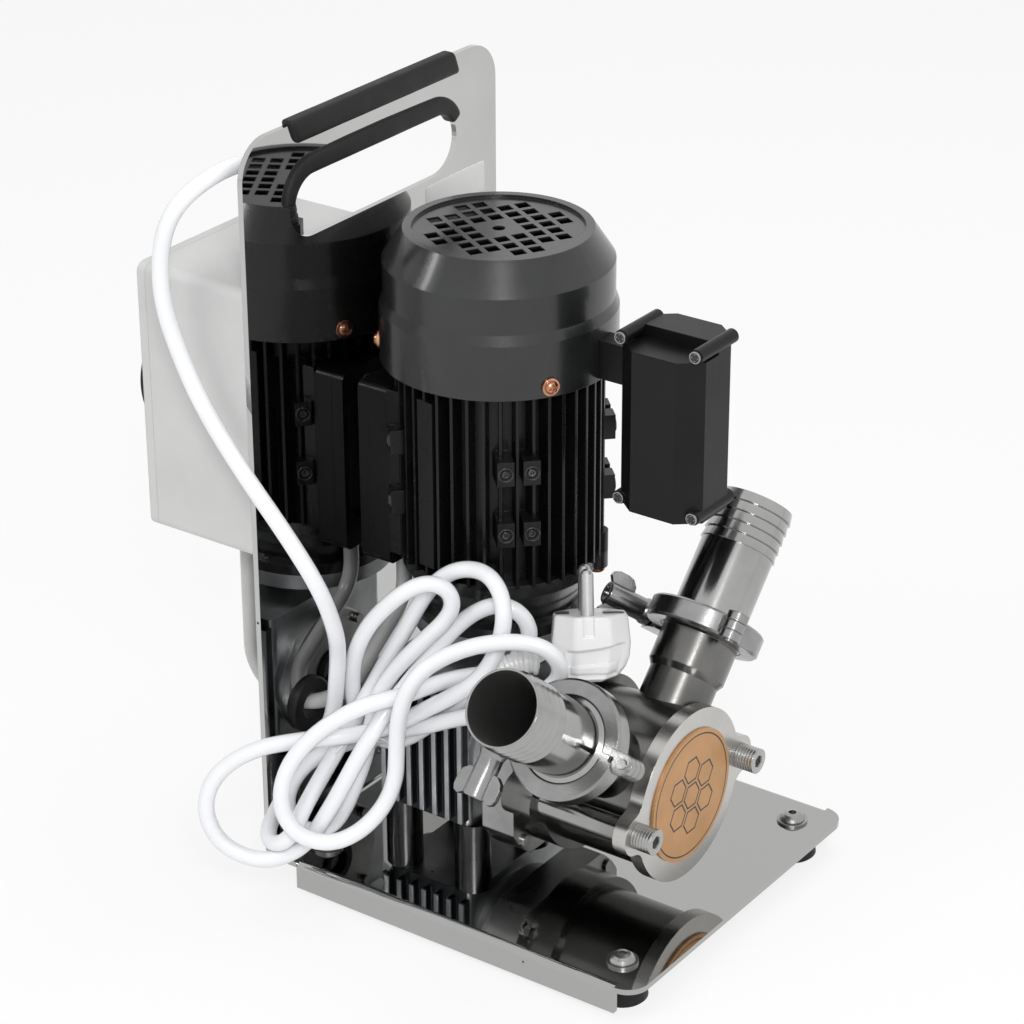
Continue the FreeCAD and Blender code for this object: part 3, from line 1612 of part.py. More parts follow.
def make_cover():
    """The pump's front cover with two ears, and the thin badge on it."""
    span = (place.barrel_end, place.cover_face)
    disc = eared_disc("front_cover", span, size.cover_radius)
    drills = [rod("cover_ear_hole_%d" % number, "X", (span[0] - 1, span[1] + 1),
                  (place.pump_y + sign * size.ear_reach, place.pump_z), size.bolt_radius + 0.2)
              for number, sign in enumerate((-1, 1))]
    socket = rod("cover_shaft_socket", "X", (span[0] - 1, span[0] + 3.5), pump_axis, size.shaft_radius + 0.5)
    node("pump_cover", cut("pump_cover", disc, socket, *drills))
    badge_span = (place.cover_face, place.cover_face + size.badge_thick)
    node("cover_badge", rod("cover_badge", "X", badge_span, pump_axis, size.badge_radius))
    groove = (place.barrel_end - 2, place.barrel_end)
    rings = port_gaskets()
    rings.append(ring("cover_ring", "X", groove, pump_axis, size.chamber_radius + 3.4, size.chamber_radius + 1.6))
    node("gaskets", group("gaskets", *rings))


def make_cover_rods():
    """Two sleeves beside the barrel, and the two long bolts through them."""
    sleeves = []
    bolts = []
    for number, sign in enumerate((-1, 1)):
        spot = (place.pump_y + sign * size.ear_reach, place.pump_z)
        sleeves.append(ring("sleeve_%d" % number, "X", (place.barrel_start, place.barrel_end), spot,
                            size.sleeve_radius, size.bolt_radius + 0.2))
        head_span = (place.cover_face, place.cover_face + size.bolt_head)
        shank = rod("bolt_shank_%d" % number, "X", (place.block_face + 1, place.cover_face + 1), spot,
                    size.bolt_radius)
        head = rod("bolt_head_%d" % number, "X", head_span, spot, size.sleeve_radius)
        hole = hexagon("bolt_socket_%d" % number, "X", (head_span[1] - 5, head_span[1] + 1), spot, 3.5)
        bolts.append(cut("cover_bolt_%d" % number, fuse("bolt_blank_%d" % number, shank, head), hole))
    node("cover_rods", group("cover_rods", *sleeves))
    node("cover_bolts", group("cover_bolts", *bolts))


def make_cam_insert():
    """A crescent fixed at the top of the chamber between the two ports."""
    span = (place.barrel_start + size.chamber_floor, place.barrel_end)
    outer = rod("cam_outer", "X", span, pump_axis, size.chamber_radius)
    middle = (place.pump_y, place.pump_z - size.cam_thick)
    inner = rod("cam_inner", "X", (span[0] - 1, span[1] + 1), middle, size.chamber_radius)
    wedge = box("cam_wedge", span, centred(place.pump_y, size.chamber_radius * 0.6),
                (place.pump_z, place.pump_z + size.chamber_radius + 1))
    return node("cam_insert", cut("cam_insert", common("cam_crescent", outer, wedge), inner))


def make_pump_shaft():
    """The shaft that carries the worm wheel and the impeller."""
    start = place.gearbox_rear - 3
    end = place.barrel_end + 3
    profile = [
        (0, start),
        (size.shaft_radius - 1, start),
        (size.shaft_radius, start + 1),
        (size.shaft_radius, end - 1),
        (size.shaft_radius - 1, end),
        (0, end),
    ]
    return node("pump_shaft", turned("pump_shaft", "X", profile, pump_axis))


def make_worm_wheel():
    """The worm wheel: a bronze ring with slanted teeth in a polar pattern, on a hub."""
    teeth = 2 * size.pitch_radius_wheel / size.gear_module
    module = size.gear_module
    pitch = size.pitch_radius_wheel
    half = size.wheel_width / 2
    root = pitch - 1.25 * module
    tip = pitch + 0.9 * module
    body = doc.addObject("PartDesign::Body", "worm_wheel")
    hub = outline(body, "wheel_hub", "XZ_Plane", [
        (-half - 5, size.shaft_radius),
        (half + 5, size.shaft_radius),
        (half + 5, size.shaft_radius + 5),
        (half, size.shaft_radius + 5),
        (half, root),
        (-half, root),
        (-half, size.shaft_radius + 5),
        (-half - 5, size.shaft_radius + 5),
    ])
    turn = body.newObject("PartDesign::Revolution", "wheel_turn")
    turn.Profile = hub
    turn.ReferenceAxis = (hub, ["H_Axis"])
    turn.Angle = 360
    lead_angle = math.atan(size.gear_module.value / (2 * size.pitch_radius_worm.value))
    slant = half * math.tan(lead_angle)
    sections = []
    for name, side in (("near", -1), ("far", 1)):
        shift = slant * side
        sections.append(outline(body, "wheel_tooth_" + name, "YZ_Plane", [
            (root - 0.5, shift - 0.92 * module),
            (pitch, shift - 0.6 * module),
            (tip, shift - 0.3 * module),
            (tip, shift + 0.3 * module),
            (pitch, shift + 0.6 * module),
            (root - 0.5, shift + 0.92 * module),
        ], half * side))
    tooth = body.newObject("PartDesign::AdditiveLoft", "wheel_tooth")
    tooth.Profile = sections[0]
    tooth.Sections = [sections[1]]
    tooth.Ruled = True
    polar(body, "wheel_teeth", tooth, sections[0], teeth)
    put(body, place.motor_x, place.pump_y, place.pump_z)
    return node("worm_wheel", body)


def make_impeller():
    """A rubber impeller: a hub and straight vanes with rounded tips."""
    low = place.barrel_start + size.chamber_floor + 0.5
    high = place.barrel_end - 0.5
    body = doc.addObject("PartDesign::Body", "impeller")
    hub = outline(body, "impeller_hub", "XZ_Plane", [
        (low, size.shaft_radius),
        (high, size.shaft_radius),
        (high, size.impeller_hub),
        (low, size.impeller_hub),
    ])
    turn = body.newObject("PartDesign::Revolution", "impeller_turn")
    turn.Profile = hub
    turn.ReferenceAxis = (hub, ["H_Axis"])
    turn.Angle = 360
    tip = size.impeller_radius
    vane = outline(body, "impeller_vane", "YZ_Plane", [
        (size.impeller_hub - 1, -3),
        (size.impeller_hub + 2, -2),
        (tip - 5, -1.6),
        (tip - 3, -2.6),
        (tip - 0.5, -2.2),
        (tip, 0),
        (tip - 0.5, 2.2),
        (tip - 3, 2.6),
        (tip - 5, 1.6),
        (size.impeller_hub + 2, 2),
        (size.impeller_hub - 1, 3),
    ], low)
    pad = body.newObject("PartDesign::Pad", "impeller_vane_pad")
    pad.Profile = vane
    bound(pad, "Length", high - low)
    polar(body, "impeller_vanes", pad, vane, size.impeller_blades)
    put(body, 0, place.pump_y, place.pump_z)
    return node("impeller", body)


def make_tail(name, angle):
    """A hose tail: a clamp ferrule, a plain tube and five saw-tooth barbs."""
    face = size.ferrule_centre + ferrule_half()
    rim = size.ferrule_centre + 3
    cone = size.ferrule_centre + 6.8
    profile = [
        (size.tail_bore, face),
        (size.ferrule_radius, face),
        (size.ferrule_radius, rim),
        (size.tail_radius, cone),
    ]
    for step in (5, 4, 3, 2, 1):
        foot = size.tail_end - step * size.barb_pitch
        if step == 5:
            profile.append((size.tail_radius, foot))
        profile.append((size.barb_radius, foot))
        profile.append((size.barb_radius - 1, foot + size.barb_pitch))
    profile.append((size.tail_bore, size.tail_end))
    return node(name, turn_port(turned(name, "Y", profile), angle))


def port_gaskets():
    """A ring gasket between each pair of ferrules."""
    rings = []
    span = (size.ferrule_centre - ferrule_half(), size.ferrule_centre + ferrule_half())
    for name, angle in (("outlet_gasket", size.outlet_angle), ("inlet_gasket", size.inlet_angle)):
        rings.append(turn_port(ring(name, "Y", span, (0, 0), size.ferrule_radius - 1, size.tail_bore), angle))
    return rings


CLAMPS = (
    ("inlet", size.inlet_angle, size.inlet_clamp_turn, "Y"),
    ("outlet", size.outlet_angle, size.outlet_clamp_turn, "X"),
)


def settle(thing, angle, turn):
    """Moves a clamp piece drawn round +Y to a port's ferrules, turned about the port."""
    rotation = FreeCAD.Rotation(V(1, 0, 0), angle.value).multiply(FreeCAD.Rotation(V(0, 1, 0), turn.value))
    thing.Placement = FreeCAD.Placement(V(), rotation)
    reach = size.ferrule_centre
    y = place.pump_y + reach * cosine(angle)
    z = place.pump_z + reach * sine(angle)
    return put(thing, place.port_x, y, z)


def clamp_ring(name):
    """The grooved ring that draws two ferrules together."""
    half = size.clamp_width / 2
    lip = size.ferrule_radius - 4
    deep = size.ferrule_radius + 0.7
    slope = (deep - 0.3 - lip) / 2.95
    mouth = deep - 0.3 - (half - 3.1) * slope
    edge = 1.2
    profile = [
        (size.clamp_radius, edge - half),
        (size.clamp_radius, half - edge),
        (size.clamp_radius - edge, half),
        (mouth, half),
        (deep - 0.3, 3.1),
        (deep, 2.9),
        (deep, -2.9),
        (deep - 0.3, -3.1),
        (mouth, -half),
        (size.clamp_radius - edge, -half),
    ]
    return turned(name, "Y", profile)


def make_clamp_halves(name):
    """Two half rings with a pinned hinge on one side and an eye-bolt seat on the other."""
    half = size.clamp_ear_width / 2
    hinge_x = size.swing_reach
    bolt_x = -size.swing_reach
    drop = -size.swing_drop
    gap = 1.5
    wide = size.clamp_radius + 30
    lower = box(name + "_low_room", (-wide, wide), (-half, half), (-wide, -gap))
    upper = box(name + "_high_room", (-wide, wide), (-half, half), (gap, wide))
    # hinge knuckles: two outer ones on the lower half, one between them on the upper half
    knuckle = 5.5
    tongue = 2.3
    outer_spans = ((-half, -tongue - 0.3), (tongue + 0.3, half))
    low_parts = []
    for number, span in enumerate(outer_spans):
        low_parts.append(rod("%s_knuckle_%d" % (name, number), "Y", span, (hinge_x, 0), knuckle))
        low_parts.append(box("%s_web_%d" % (name, number), (size.clamp_radius - 3, hinge_x), span,
                             (-knuckle, -gap)))
    high_parts = [
        rod(name + "_tongue", "Y", (-tongue, tongue), (hinge_x, 0), knuckle),
        box(name + "_tongue_web", (size.clamp_radius - 3, hinge_x), (-tongue, tongue), (gap, knuckle)),
    ]
    # clevis for the swing bolt on the lower half
    ear = 6
    clevis_web = (bolt_x, -size.clamp_radius + 3)
    low_parts.append(rod(name + "_clevis", "Y", (-half, half), (bolt_x, drop), ear))
    low_parts.append(box(name + "_clevis_web", clevis_web, (-half, half), (drop - ear, -gap - 2)))
    low_blank = fuse(name + "_low_blank", common(name + "_low_ring", clamp_ring(name + "_ring_a"), lower),
                     *low_parts)
    eye_room = size.eye_width / 2 + 0.3
    low_tools = [
        rod(name + "_eye_room", "Y", (-eye_room, eye_room), (bolt_x, drop), ear + 0.5),
        box(name + "_shank_room", (bolt_x - ear - 1, bolt_x + 5), (-eye_room, eye_room), (drop, 0)),
        rod(name + "_hinge_bore_a", "Y", (-half - 1, half + 1), (hinge_x, 0), size.pin_radius + 0.05),
        rod(name + "_pivot_bore", "Y", (-half - 1, half + 1), (bolt_x, drop), size.pin_radius + 0.05),
        rod(name + "_ferrule_room_a", "Y", (-half - 1, half + 1), (0, 0), size.ferrule_radius - 4),
    ]
    low_half = cut(name + "_clamp_lower", low_blank, *low_tools)
    # fork for the swing bolt on the upper half, rounded about the bolt's pivot
    fork_top = size.nut_seat - size.swing_drop
    fork_box = box(name + "_fork_box", (bolt_x - 8, -size.clamp_radius + 4), (-half, half), (4, fork_top))
    fork_round = rod(name + "_fork_round", "Y", (-half, half), (bolt_x, drop), size.nut_seat - 0.35)
    fork = common(name + "_fork", fork_box, fork_round)
    high_blank = fuse(name + "_high_blank", common(name + "_high_ring", clamp_ring(name + "_ring_b"), upper),
                      fork, *high_parts)
    slot = size.swing_radius + 0.4
    high_tools = [
        box(name + "_fork_slot", (bolt_x - 9, bolt_x + slot), (-slot, slot), (0, fork_top + 1)),
        rod(name + "_hinge_bore_b", "Y", (-half - 1, half + 1), (hinge_x, 0), size.pin_radius + 0.05),
        rod(name + "_ferrule_room_b", "Y", (-half - 1, half + 1), (0, 0), size.ferrule_radius - 4),
        rod(name + "_rim_room", "Y", (-2.9, 2.9), (0, 0), size.ferrule_radius + 0.7),
    ]
    high_half = cut(name + "_clamp_upper", high_blank, *high_tools)
    return low_half, high_half


def make_clamps():
    """Both port clamps with their pins, swing bolts and wing nuts."""
    pins = []
    for name, angle, turn, flat in CLAMPS:
        low_half, high_half = make_clamp_halves(name)
        halves = group(name + "_clamp_halves", low_half, high_half)
        node(name + "_clamp_halves", settle(halves, angle, turn))
        half = size.clamp_ear_width / 2
        hinge = rod(name + "_hinge_pin", "Y", (-half - 0.8, half + 0.8), (size.swing_reach, 0),
                    size.pin_radius)
        pivot = rod(name + "_pivot_pin", "Y", (-half - 0.8, half + 0.8),
                    (-size.swing_reach, -size.swing_drop), size.pin_radius)
        pins.append(settle(group(name + "_pins", hinge, pivot), angle, turn))
        node(name + "_swing_bolt", settle(swing_bolt(name), angle, turn))
        node(name + "_wing_nut", settle(wing_nut(name, flat), angle, turn))
    return node("clamp_pins", group("clamp_pins", *pins))


def swing_bolt(name):
    """An eye bolt that swings on its pin."""
    x = -size.swing_reach
    z = -size.swing_drop
    eye = rod(name + "_eye", "Y", centred(0, size.eye_width), (x, z), 6)
    end = size.nut_seat - size.swing_drop + size.nut_length - 2
    shank = rod(name + "_shank", "Z", (z, end), (x, 0), size.swing_radius)
    bore = rod(name + "_eye_bore", "Y", (-5, 5), (x, z), size.pin_radius + size.running_gap)
    return cut(name + "_swing_bolt", fuse(name + "_bolt_blank", eye, shank), bore)


def wing_nut(name, flat):
    """A tall slim nut with two flat wings at its outer end, square to one axis of the drawing."""
    seat = size.nut_seat - size.swing_drop
    top = seat + size.nut_length
    radius = size.nut_radius
    bore = size.swing_radius + size.running_gap
    profile = [
        (bore, seat),
        (radius + 0.8, seat),
        (radius + 0.8, seat + 3),
        (radius, seat + 5),
        (radius, top - 0.6),
        (radius - 0.6, top),
        (bore, top),
    ]
    barrel = turned(name + "_barrel", "Z", profile, (-size.swing_reach, 0))
    middle = as_size(0) if flat == "X" else -size.swing_reach
    thick = centred(-size.swing_reach if flat == "X" else 0, size.wing_thick)
    reach = size.wing_reach
    root = radius - 1.2
    wings = []
    for number, sign in enumerate((-1, 1)):
        points = [
            (middle + sign * root, seat + 12),
            (middle + sign * (reach - 4), seat + 12.5),
            (middle + sign * (reach - 1), seat + 15),
            (middle + sign * reach, seat + 18.5),
            (middle + sign * reach, top - 2.5),
            (middle + sign * (reach - 1), top),
            (middle + sign * (reach - 3.5), top + 1),
            (middle + sign * root, top - 1.5),
        ]
        wings.append(prism("%s_wing_%d" % (name, number), flat, thick, points))
    return fuse(name + "_wing_nut", barrel, *wings)


def make_control_box():
    """The speed control: a box on the plate's back, a lid, the board and the round knob."""
    across = (place.control_y, place.control_y + size.control_width)
    height = (place.control_bottom, place.control_top)
    wall = size.control_wall
    seam = place.control_x + 5
    outer = prism("control_shell", "X", (seam, place.plate_back), rectangle(across, height), size.control_round)
    inner_y = (across[0] + wall, across[1] - wall)
    inner_z = (height[0] + wall, height[1] - wall)
    hollow = box("control_hollow", (seam - 1, place.plate_back - wall), inner_y, inner_z)
    cable_x = place.plate_back - 33
    drill = (height[0] - 1, height[0] + wall + 1)
    low_hole = rod("control_low_hole", "Z", drill, (cable_x, -size.grommet_offset), 6)
    high_drill = (height[1] - wall - 1, height[1] + 1)
    high_hole = rod("control_high_hole", "Z", high_drill, (place.plate_back - 22, MAINS_GLAND_Y), 6)
    node("control_box", cut("control_box", outer, hollow, low_hole, high_hole))
    knob = (place.control_y + size.knob_side, place.deck + size.knob_height)
    lid = prism("control_cover", "X", (place.control_x, seam), rectangle(across, height), size.control_round)
    hole = rod("knob_hole", "X", (place.control_x - 1, seam + 1), knob, size.knob_shaft + 0.4)
    node("control_lid", cut("control_lid", lid, hole))
    board = box("board_plate", (place.plate_back - wall - 8, place.plate_back - wall - 6),
                (inner_y[0] + 4, inner_y[1] - 4), (inner_z[0] + 6, inner_z[1] - 6))
    legs = [
        rod("board_leg_%d" % number, "X", (place.plate_back - wall - 7, place.plate_back - wall), spot, 3)
        for number, spot in enumerate((
            (inner_y[0] + 10, inner_z[0] + 12),
            (inner_y[1] - 10, inner_z[0] + 12),
            (inner_y[0] + 10, inner_z[1] - 12),
            (inner_y[1] - 10, inner_z[1] - 12),
        ))
    ]
    pot = rod("pot_body", "X", (seam + 8, place.plate_back - wall - 7), knob, 9)
    pot_hole = rod("pot_hole", "X", (seam + 7, seam + 20), knob, size.knob_shaft + size.running_gap)
    heat_sink = box("heat_sink", (seam + 14, place.plate_back - wall - 7), (inner_y[1] - 40, inner_y[1] - 12),
                    (inner_z[0] + 20, inner_z[0] + 80))
    board_whole = fuse("board_whole", board, pot, heat_sink, *legs)
    node("control_board", cut("control_board", board_whole, pot_hole))
    face = place.control_x - 0.4
    back = face - size.knob_thick
    profile = [
        (0, back),
        (size.knob_radius - 2.5, back),
        (size.knob_radius - 1, back + 1.5),
        (size.knob_radius - 0.6, face - 2.5),
        (size.knob_radius, face - 2.5),
        (size.knob_radius, face),
        (size.knob_shaft, face),
        (size.knob_shaft, seam + 18),
        (0, seam + 18),
    ]
    node("speed_knob", turned("speed_knob", "X", profile, knob))


def make_cable_glands():
    """Glands under and on the control box, and one under the terminal box."""
    cable_x = place.plate_back - 33
    glands = []
    for name, spot, start, sign, bore in (
        ("low_gland", (cable_x, -size.grommet_offset), place.control_bottom, -1, size.motor_cable),
        ("high_gland", (place.plate_back - 22, as_size(MAINS_GLAND_Y)), place.control_top, 1, size.mains_cord),
    ):
        length = size.gland_length
        span = (start, start + length) if sign > 0 else (start - length, start)
        inner = (start - 4, start) if sign > 0 else (start, start + 4)
        nut = hexagon(name + "_nut", "Z", span, spot, size.gland_radius)
        stem = rod(name + "_stem", "Z", inner, spot, 5.9)
        hole = rod(name + "_hole", "Z", (start - 20, start + 20), spot, bore + 0.1)
        glands.append(cut(name, fuse(name + "_blank", nut, stem), hole))
    return node("cable_glands", group("cable_glands", *glands))


def tube(name, points, radius):
    """A round cord along straight runs joined by tangent arcs as large as the runs allow."""
    corners = [V(*[as_size(amount).value for amount in point]) for point in points]
    edges = []
    start = corners[0]
    length = 0.0
    radii = []
    for before, corner, after in zip(corners, corners[1:], corners[2:]):
        into = (corner - before).normalize()
        away = (after - corner).normalize()
        turn = into.getAngle(away)
        shorter = min((corner - before).Length, (after - corner).Length)
        setback = 0.45 * shorter
        bend = setback / math.tan(turn / 2)
        first = corner - into * setback
        last = corner + away * setback
        inward = (away - into).normalize()
        centre = corner + inward * (bend / math.cos(turn / 2))
        middle = centre - inward * bend
        edges.append(Part.LineSegment(start, first).toShape())
        edges.append(Part.Arc(first, middle, last).toShape())
        length += (first - start).Length + bend * turn
        radii.append(round(bend, 1))
        start = last
    edges.append(Part.LineSegment(start, corners[-1]).toShape())
    length += (corners[-1] - start).Length
    path = Part.Wire(edges)
    direction = (corners[1] - corners[0]).normalize()
    circle = Part.Wire(Part.Circle(corners[0], direction, radius.value).toShape())
    shape = path.makePipeShell([circle], True, False)
    expected = math.pi * radius.value ** 2 * length
    print("%s: length %.0f mm, arc radii %s, volume %.4f of the expected" % (
        name, length, radii, shape.Volume / expected))
    cord = doc.addObject("Part::Feature", name)
    cord.Shape = shape
    return node(name, cord)


def make_cords():
    """The motor cable, the mains cord, its tied hank and the short lead to the plug."""
    cable_x = place.plate_back - 33
    cable_y = -size.grommet_offset
    grommet_z = place.deck + size.grommet_height
    box_x = place.motor_x - size.terminal_seat - size.terminal_base / 2
    box_y = place.motor_y - size.terminal_offset
    box_z = place.deck + size.terminal_floor
    tube("motor_cable", [
        (cable_x, cable_y, place.control_bottom),
        (cable_x, cable_y, grommet_z),
        (place.plate_face + 17, cable_y, grommet_z),
        (box_x, box_y, box_z - 28),
        (box_x, box_y, box_z),
    ], size.motor_cable)
    tube("mains_cord", MAINS_START + MAINS_ROUTE, size.mains_cord)
    tube("plug_lead", PLUG_LEAD, size.mains_cord)


# Routes of the loose cord, point by point, from the gland to the hank and from the hank to the plug.
MAINS_GLAND_Y = -40
MAINS_START = [
    (place.plate_back - 22, MAINS_GLAND_Y, place.control_top),
    (place.plate_back - 22, MAINS_GLAND_Y, place.control_top + 17),
]
MAINS_ROUTE = [
    (-136, -47.5, 364),
    (-133, -62, 378.5),
    (-128, -79, 384),
    (-130.5, -97, 383.5),
    (-138, -113, 374.5),
    (-144.5, -119.5, 361),
    (-149, -120, 341),
    (-149, -119, 319),
    (-144.5, -119, 296),
    (-134, -119.5, 270),
    (-112, -121, 243),
    (-84, -121, 216),
    (-67, -115, 189),
    (-66, -104, 163),
    (-73, -93.5, 141),
]
PLUG_LEAD = [
    (-12.5, -60, 132.5),
    (-5, -52, 136.5),
    (3, -42, 140.3),
    (11, -35.8, 140.3),
]
HANK_ORIGIN = (-53.2, -93.7, 82.6)
HANK_ACROSS = (0.85, 0.53)
HANK_FOLD = 45
HANK_LOBE_ACROSS = (0.97, 0.24)
HANK_TILT = 12
HANK_THICK = 16
HANK_LOBE_BACK = 4.3
HANK_LEFT = [
    (-86, -14), (-78, 8), (-35, 42), (0, 75), (35, 108), (48, 108), (48, 24), (42, 6), (20, -30), (10, -62.5),
    (-50, -62.5),
]
HANK_RIGHT = [(-8, 34), (-8, 108), (15, 112), (40, 102), (60, 80), (62, 64), (52, 54), (10, 52)]


def hank_plane(across, origin):
    """A plane that leans back from upright, given by the direction of its foot line."""
    ahead = V(across[0], across[1], 0).normalize()
    back = V(-ahead.y, ahead.x, 0)
    tilt = math.radians(HANK_TILT)
    up = back * math.sin(tilt) + V(0, 0, 1) * math.cos(tilt)
    rotation = FreeCAD.Rotation(ahead, up, ahead.cross(up), "XYZ")
    return FreeCAD.Placement(origin, rotation)


def make_hank():
    """The tied hank as one solid of its outer shape: a main slab and a lobe that turns forward."""
    origin = V(*HANK_ORIGIN)
    left = prism("hank_left", "Z", (-HANK_THICK / 2, HANK_THICK / 2), HANK_LEFT)
    left.Placement = hank_plane(HANK_ACROSS, origin)
    ahead = V(HANK_ACROSS[0], HANK_ACROSS[1], 0).normalize()
    right = prism("hank_right", "Z", (-HANK_LOBE_BACK, HANK_THICK / 2), HANK_RIGHT)
    right.Placement = hank_plane(HANK_LOBE_ACROSS, origin + ahead * HANK_FOLD)
    return node("cord_hank", fuse("cord_hank", left, right))


def make_plug():
    """A mains plug that leans on the pump's neck with its two pins up, drawn upright and then leant."""
    half_x = size.plug_width / 2
    half_y = size.plug_depth / 2
    bevel = 10.5
    top = size.plug_height
    points = [
        (-half_x, bevel - half_y),
        (bevel - half_x, -half_y),
        (half_x - bevel, -half_y),
        (half_x, bevel - half_y),
        (half_x, half_y - bevel),
        (half_x - bevel, half_y),
        (bevel - half_x, half_y),
        (-half_x, half_y - bevel),
    ]
    shell = prism("plug_shell", "Z", (0, top), points)
    front = [
        (bevel - half_x, 0),
        (half_x - 12, 0),
        (half_x - 6, 2),
        (half_x - 2.5, 6),
        (half_x - 0.6, 11),
        (half_x, 18),
        (half_x - 1.5, top),
        (1.5 - half_x, top),
        (-half_x, 18),
        (-half_x, 3),
        (5 - half_x, 0.5),
    ]
    shaped = common("plug_shaped", shell, prism("plug_front", "Y", (-half_y - 1, half_y + 1), front))
    entry = rod("plug_entry", "X", (-half_x - 7, 8 - half_x), (as_size(-1), 9), 6.5)
    grip = prism("plug_grip", "X", (14 - half_x, half_x - 5), [
        (-half_y - 1, 2.5), (1.6 - half_y, 4.5), (1.6 - half_y, 12), (-half_y - 1, 17),
    ])
    groove = box("plug_groove", centred(-2, 5.4), (-half_y - 1, 1.5 - half_y), (top - 10, top + 1))
    groove_back = box("plug_groove_back", centred(-2, 5.4), (half_y - 1.5, half_y + 1), (top - 10, top + 1))
    body = cut("plug_body", fuse("plug_blank", shaped, entry), grip, groove, groove_back)
    node("mains_plug", lean(body))
    pins = []
    radius = size.plug_pin
    end = top + size.plug_pin_length
    for number, sign in enumerate((-1, 1)):
        profile = [
            (0, top),
            (radius, top),
            (radius, end - 2.5),
            (radius - 0.9, end - 0.8),
            (radius - 2.2, end),
            (0, end),
        ]
        spot = (as_size(-2), sign * size.plug_pin_pitch / 2)
        pins.append(turned("plug_pin_%d" % number, "Z", profile, spot))
    node("plug_pins", lean(group("plug_pins", *pins)))


def lean(thing):
    """Moves a plug piece from its drawing place to the flange, turned to face the tail and leant back."""
    about = V(cosine(size.plug_facing).value, sine(size.plug_facing).value, 0)
    rotation = FreeCAD.Rotation(about, -size.plug_lean.value)
    rotation = rotation.multiply(FreeCAD.Rotation(V(0, 0, 1), size.plug_facing.value))
    thing.Placement = FreeCAD.Placement(V(), rotation)
    x = place.block_face + size.plug_ahead
    y = place.pump_y - size.plug_aside
    return put(thing, x, y, place.pump_z + size.flange_radius + size.plug_rise)


make_frame_plate()
make_edge_trims()
make_rubber_feet()
make_foot_bolts()
make_cable_grommet()
make_standoffs()
make_gearbox_housing()
make_gearbox_cover()
make_gearbox_screws()
make_output_flange()
make_bearings()
make_shaft_seals()
make_worm()
make_motor_shaft()
make_rotor_core()
make_cooling_fan()
make_motor_flange()
make_motor_body()
make_stator()
make_upper_shield()
make_fan_cowl()
make_motor_screws()
make_terminal_box()
make_capacitor_box()
make_box_screws()
make_adapter_block()
make_pump_body()
make_cover()
make_cover_rods()
make_cam_insert()
make_pump_shaft()
make_worm_wheel()
make_impeller()
make_tail("outlet_tail", size.outlet_angle)
make_tail("inlet_tail", size.inlet_angle)
make_clamps()
make_control_box()
make_cable_glands()
make_cords()
make_hank()
make_plug()
doc.recompute()

faults = [thing.Label for thing in doc.Objects if {"Invalid", "Error"} & set(thing.State)]
for label, thing in nodes.items():
    if thing.Shape.isNull() or not thing.Shape.isValid() or not thing.Shape.Solids:
        faults.append(label)
if faults:
    raise RuntimeError("these did not build: " + ", ".join(sorted(set(faults))))

os.makedirs("parts", exist_ok=True)
for label, thing in nodes.items():
    thing.Shape.exportStep(os.path.join("parts", label + ".step"))
print(len(nodes), "sub-parts written")
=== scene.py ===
import math

import bmesh
import bpy
import numpy as np
from mathutils import Matrix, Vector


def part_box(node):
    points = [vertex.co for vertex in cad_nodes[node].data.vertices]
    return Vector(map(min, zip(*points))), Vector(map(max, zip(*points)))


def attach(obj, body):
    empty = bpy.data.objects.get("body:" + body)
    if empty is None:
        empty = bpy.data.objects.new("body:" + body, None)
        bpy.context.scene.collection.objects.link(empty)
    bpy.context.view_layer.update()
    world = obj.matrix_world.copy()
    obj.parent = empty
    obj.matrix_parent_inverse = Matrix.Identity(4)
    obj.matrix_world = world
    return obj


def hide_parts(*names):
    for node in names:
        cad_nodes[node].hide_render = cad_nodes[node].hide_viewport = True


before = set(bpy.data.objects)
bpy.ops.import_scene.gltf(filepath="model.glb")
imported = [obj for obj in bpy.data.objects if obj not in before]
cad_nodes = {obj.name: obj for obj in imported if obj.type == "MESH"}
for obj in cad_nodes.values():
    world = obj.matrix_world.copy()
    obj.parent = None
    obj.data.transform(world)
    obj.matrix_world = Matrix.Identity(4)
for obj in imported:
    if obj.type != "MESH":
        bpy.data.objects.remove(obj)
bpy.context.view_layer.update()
scene = bpy.context.scene

# All lengths are in metres.
CORD_DIAMETER = 0.0084
TIE_DIAMETER = 0.0011
MOTOR_X, MOTOR_Y = -0.0492, 0.0157
PUMP_Y, PUMP_Z = -0.0143, 0.0791
BADGE_FACE_X = 0.0875
PORT_X = 0.058
INLET_WAY, OUTLET_WAY = (0.0, -0.78261, 0.62251), (0.0, 0.682, 0.73135)
BORE_LIMIT = 0.0184
DECK_LIMIT = 0.021
PLATE_FACE_X, PLATE_MIDDLE_X, PLATE_TOP = -0.112, -0.1135, 0.401
SLOT_Z, SLOT_HALF, SLOT_RADIUS = 0.3585, 0.0500, 0.0170
COWL_RADIUS, COWL_SCREW_HEIGHT = 0.0594, 0.2774
TIE_BOLT_RADIUS, TIE_BOLT_HEIGHT = 0.0497, 0.1579
LUG_RADIUS, LUG_OFFSET, LUG_HEIGHTS = 0.057, 0.0065, (0.199, 0.232)
KNOB_Y, KNOB_Z = -0.059, 0.257


# Shader nodes

def place_node(tree, centre=(0, 0, 0), stretch=(1, 1, 1)):
    """Object coordinates, measured from a centre and stretched along each axis."""
    place = tree.nodes.new("ShaderNodeTexCoord")
    mapping = tree.nodes.new("ShaderNodeMapping")
    mapping.inputs["Location"].default_value = [-c * s for c, s in zip(centre, stretch)]
    mapping.inputs["Scale"].default_value = stretch
    tree.links.new(place.outputs["Object"], mapping.inputs["Vector"])
    return mapping.outputs["Vector"]


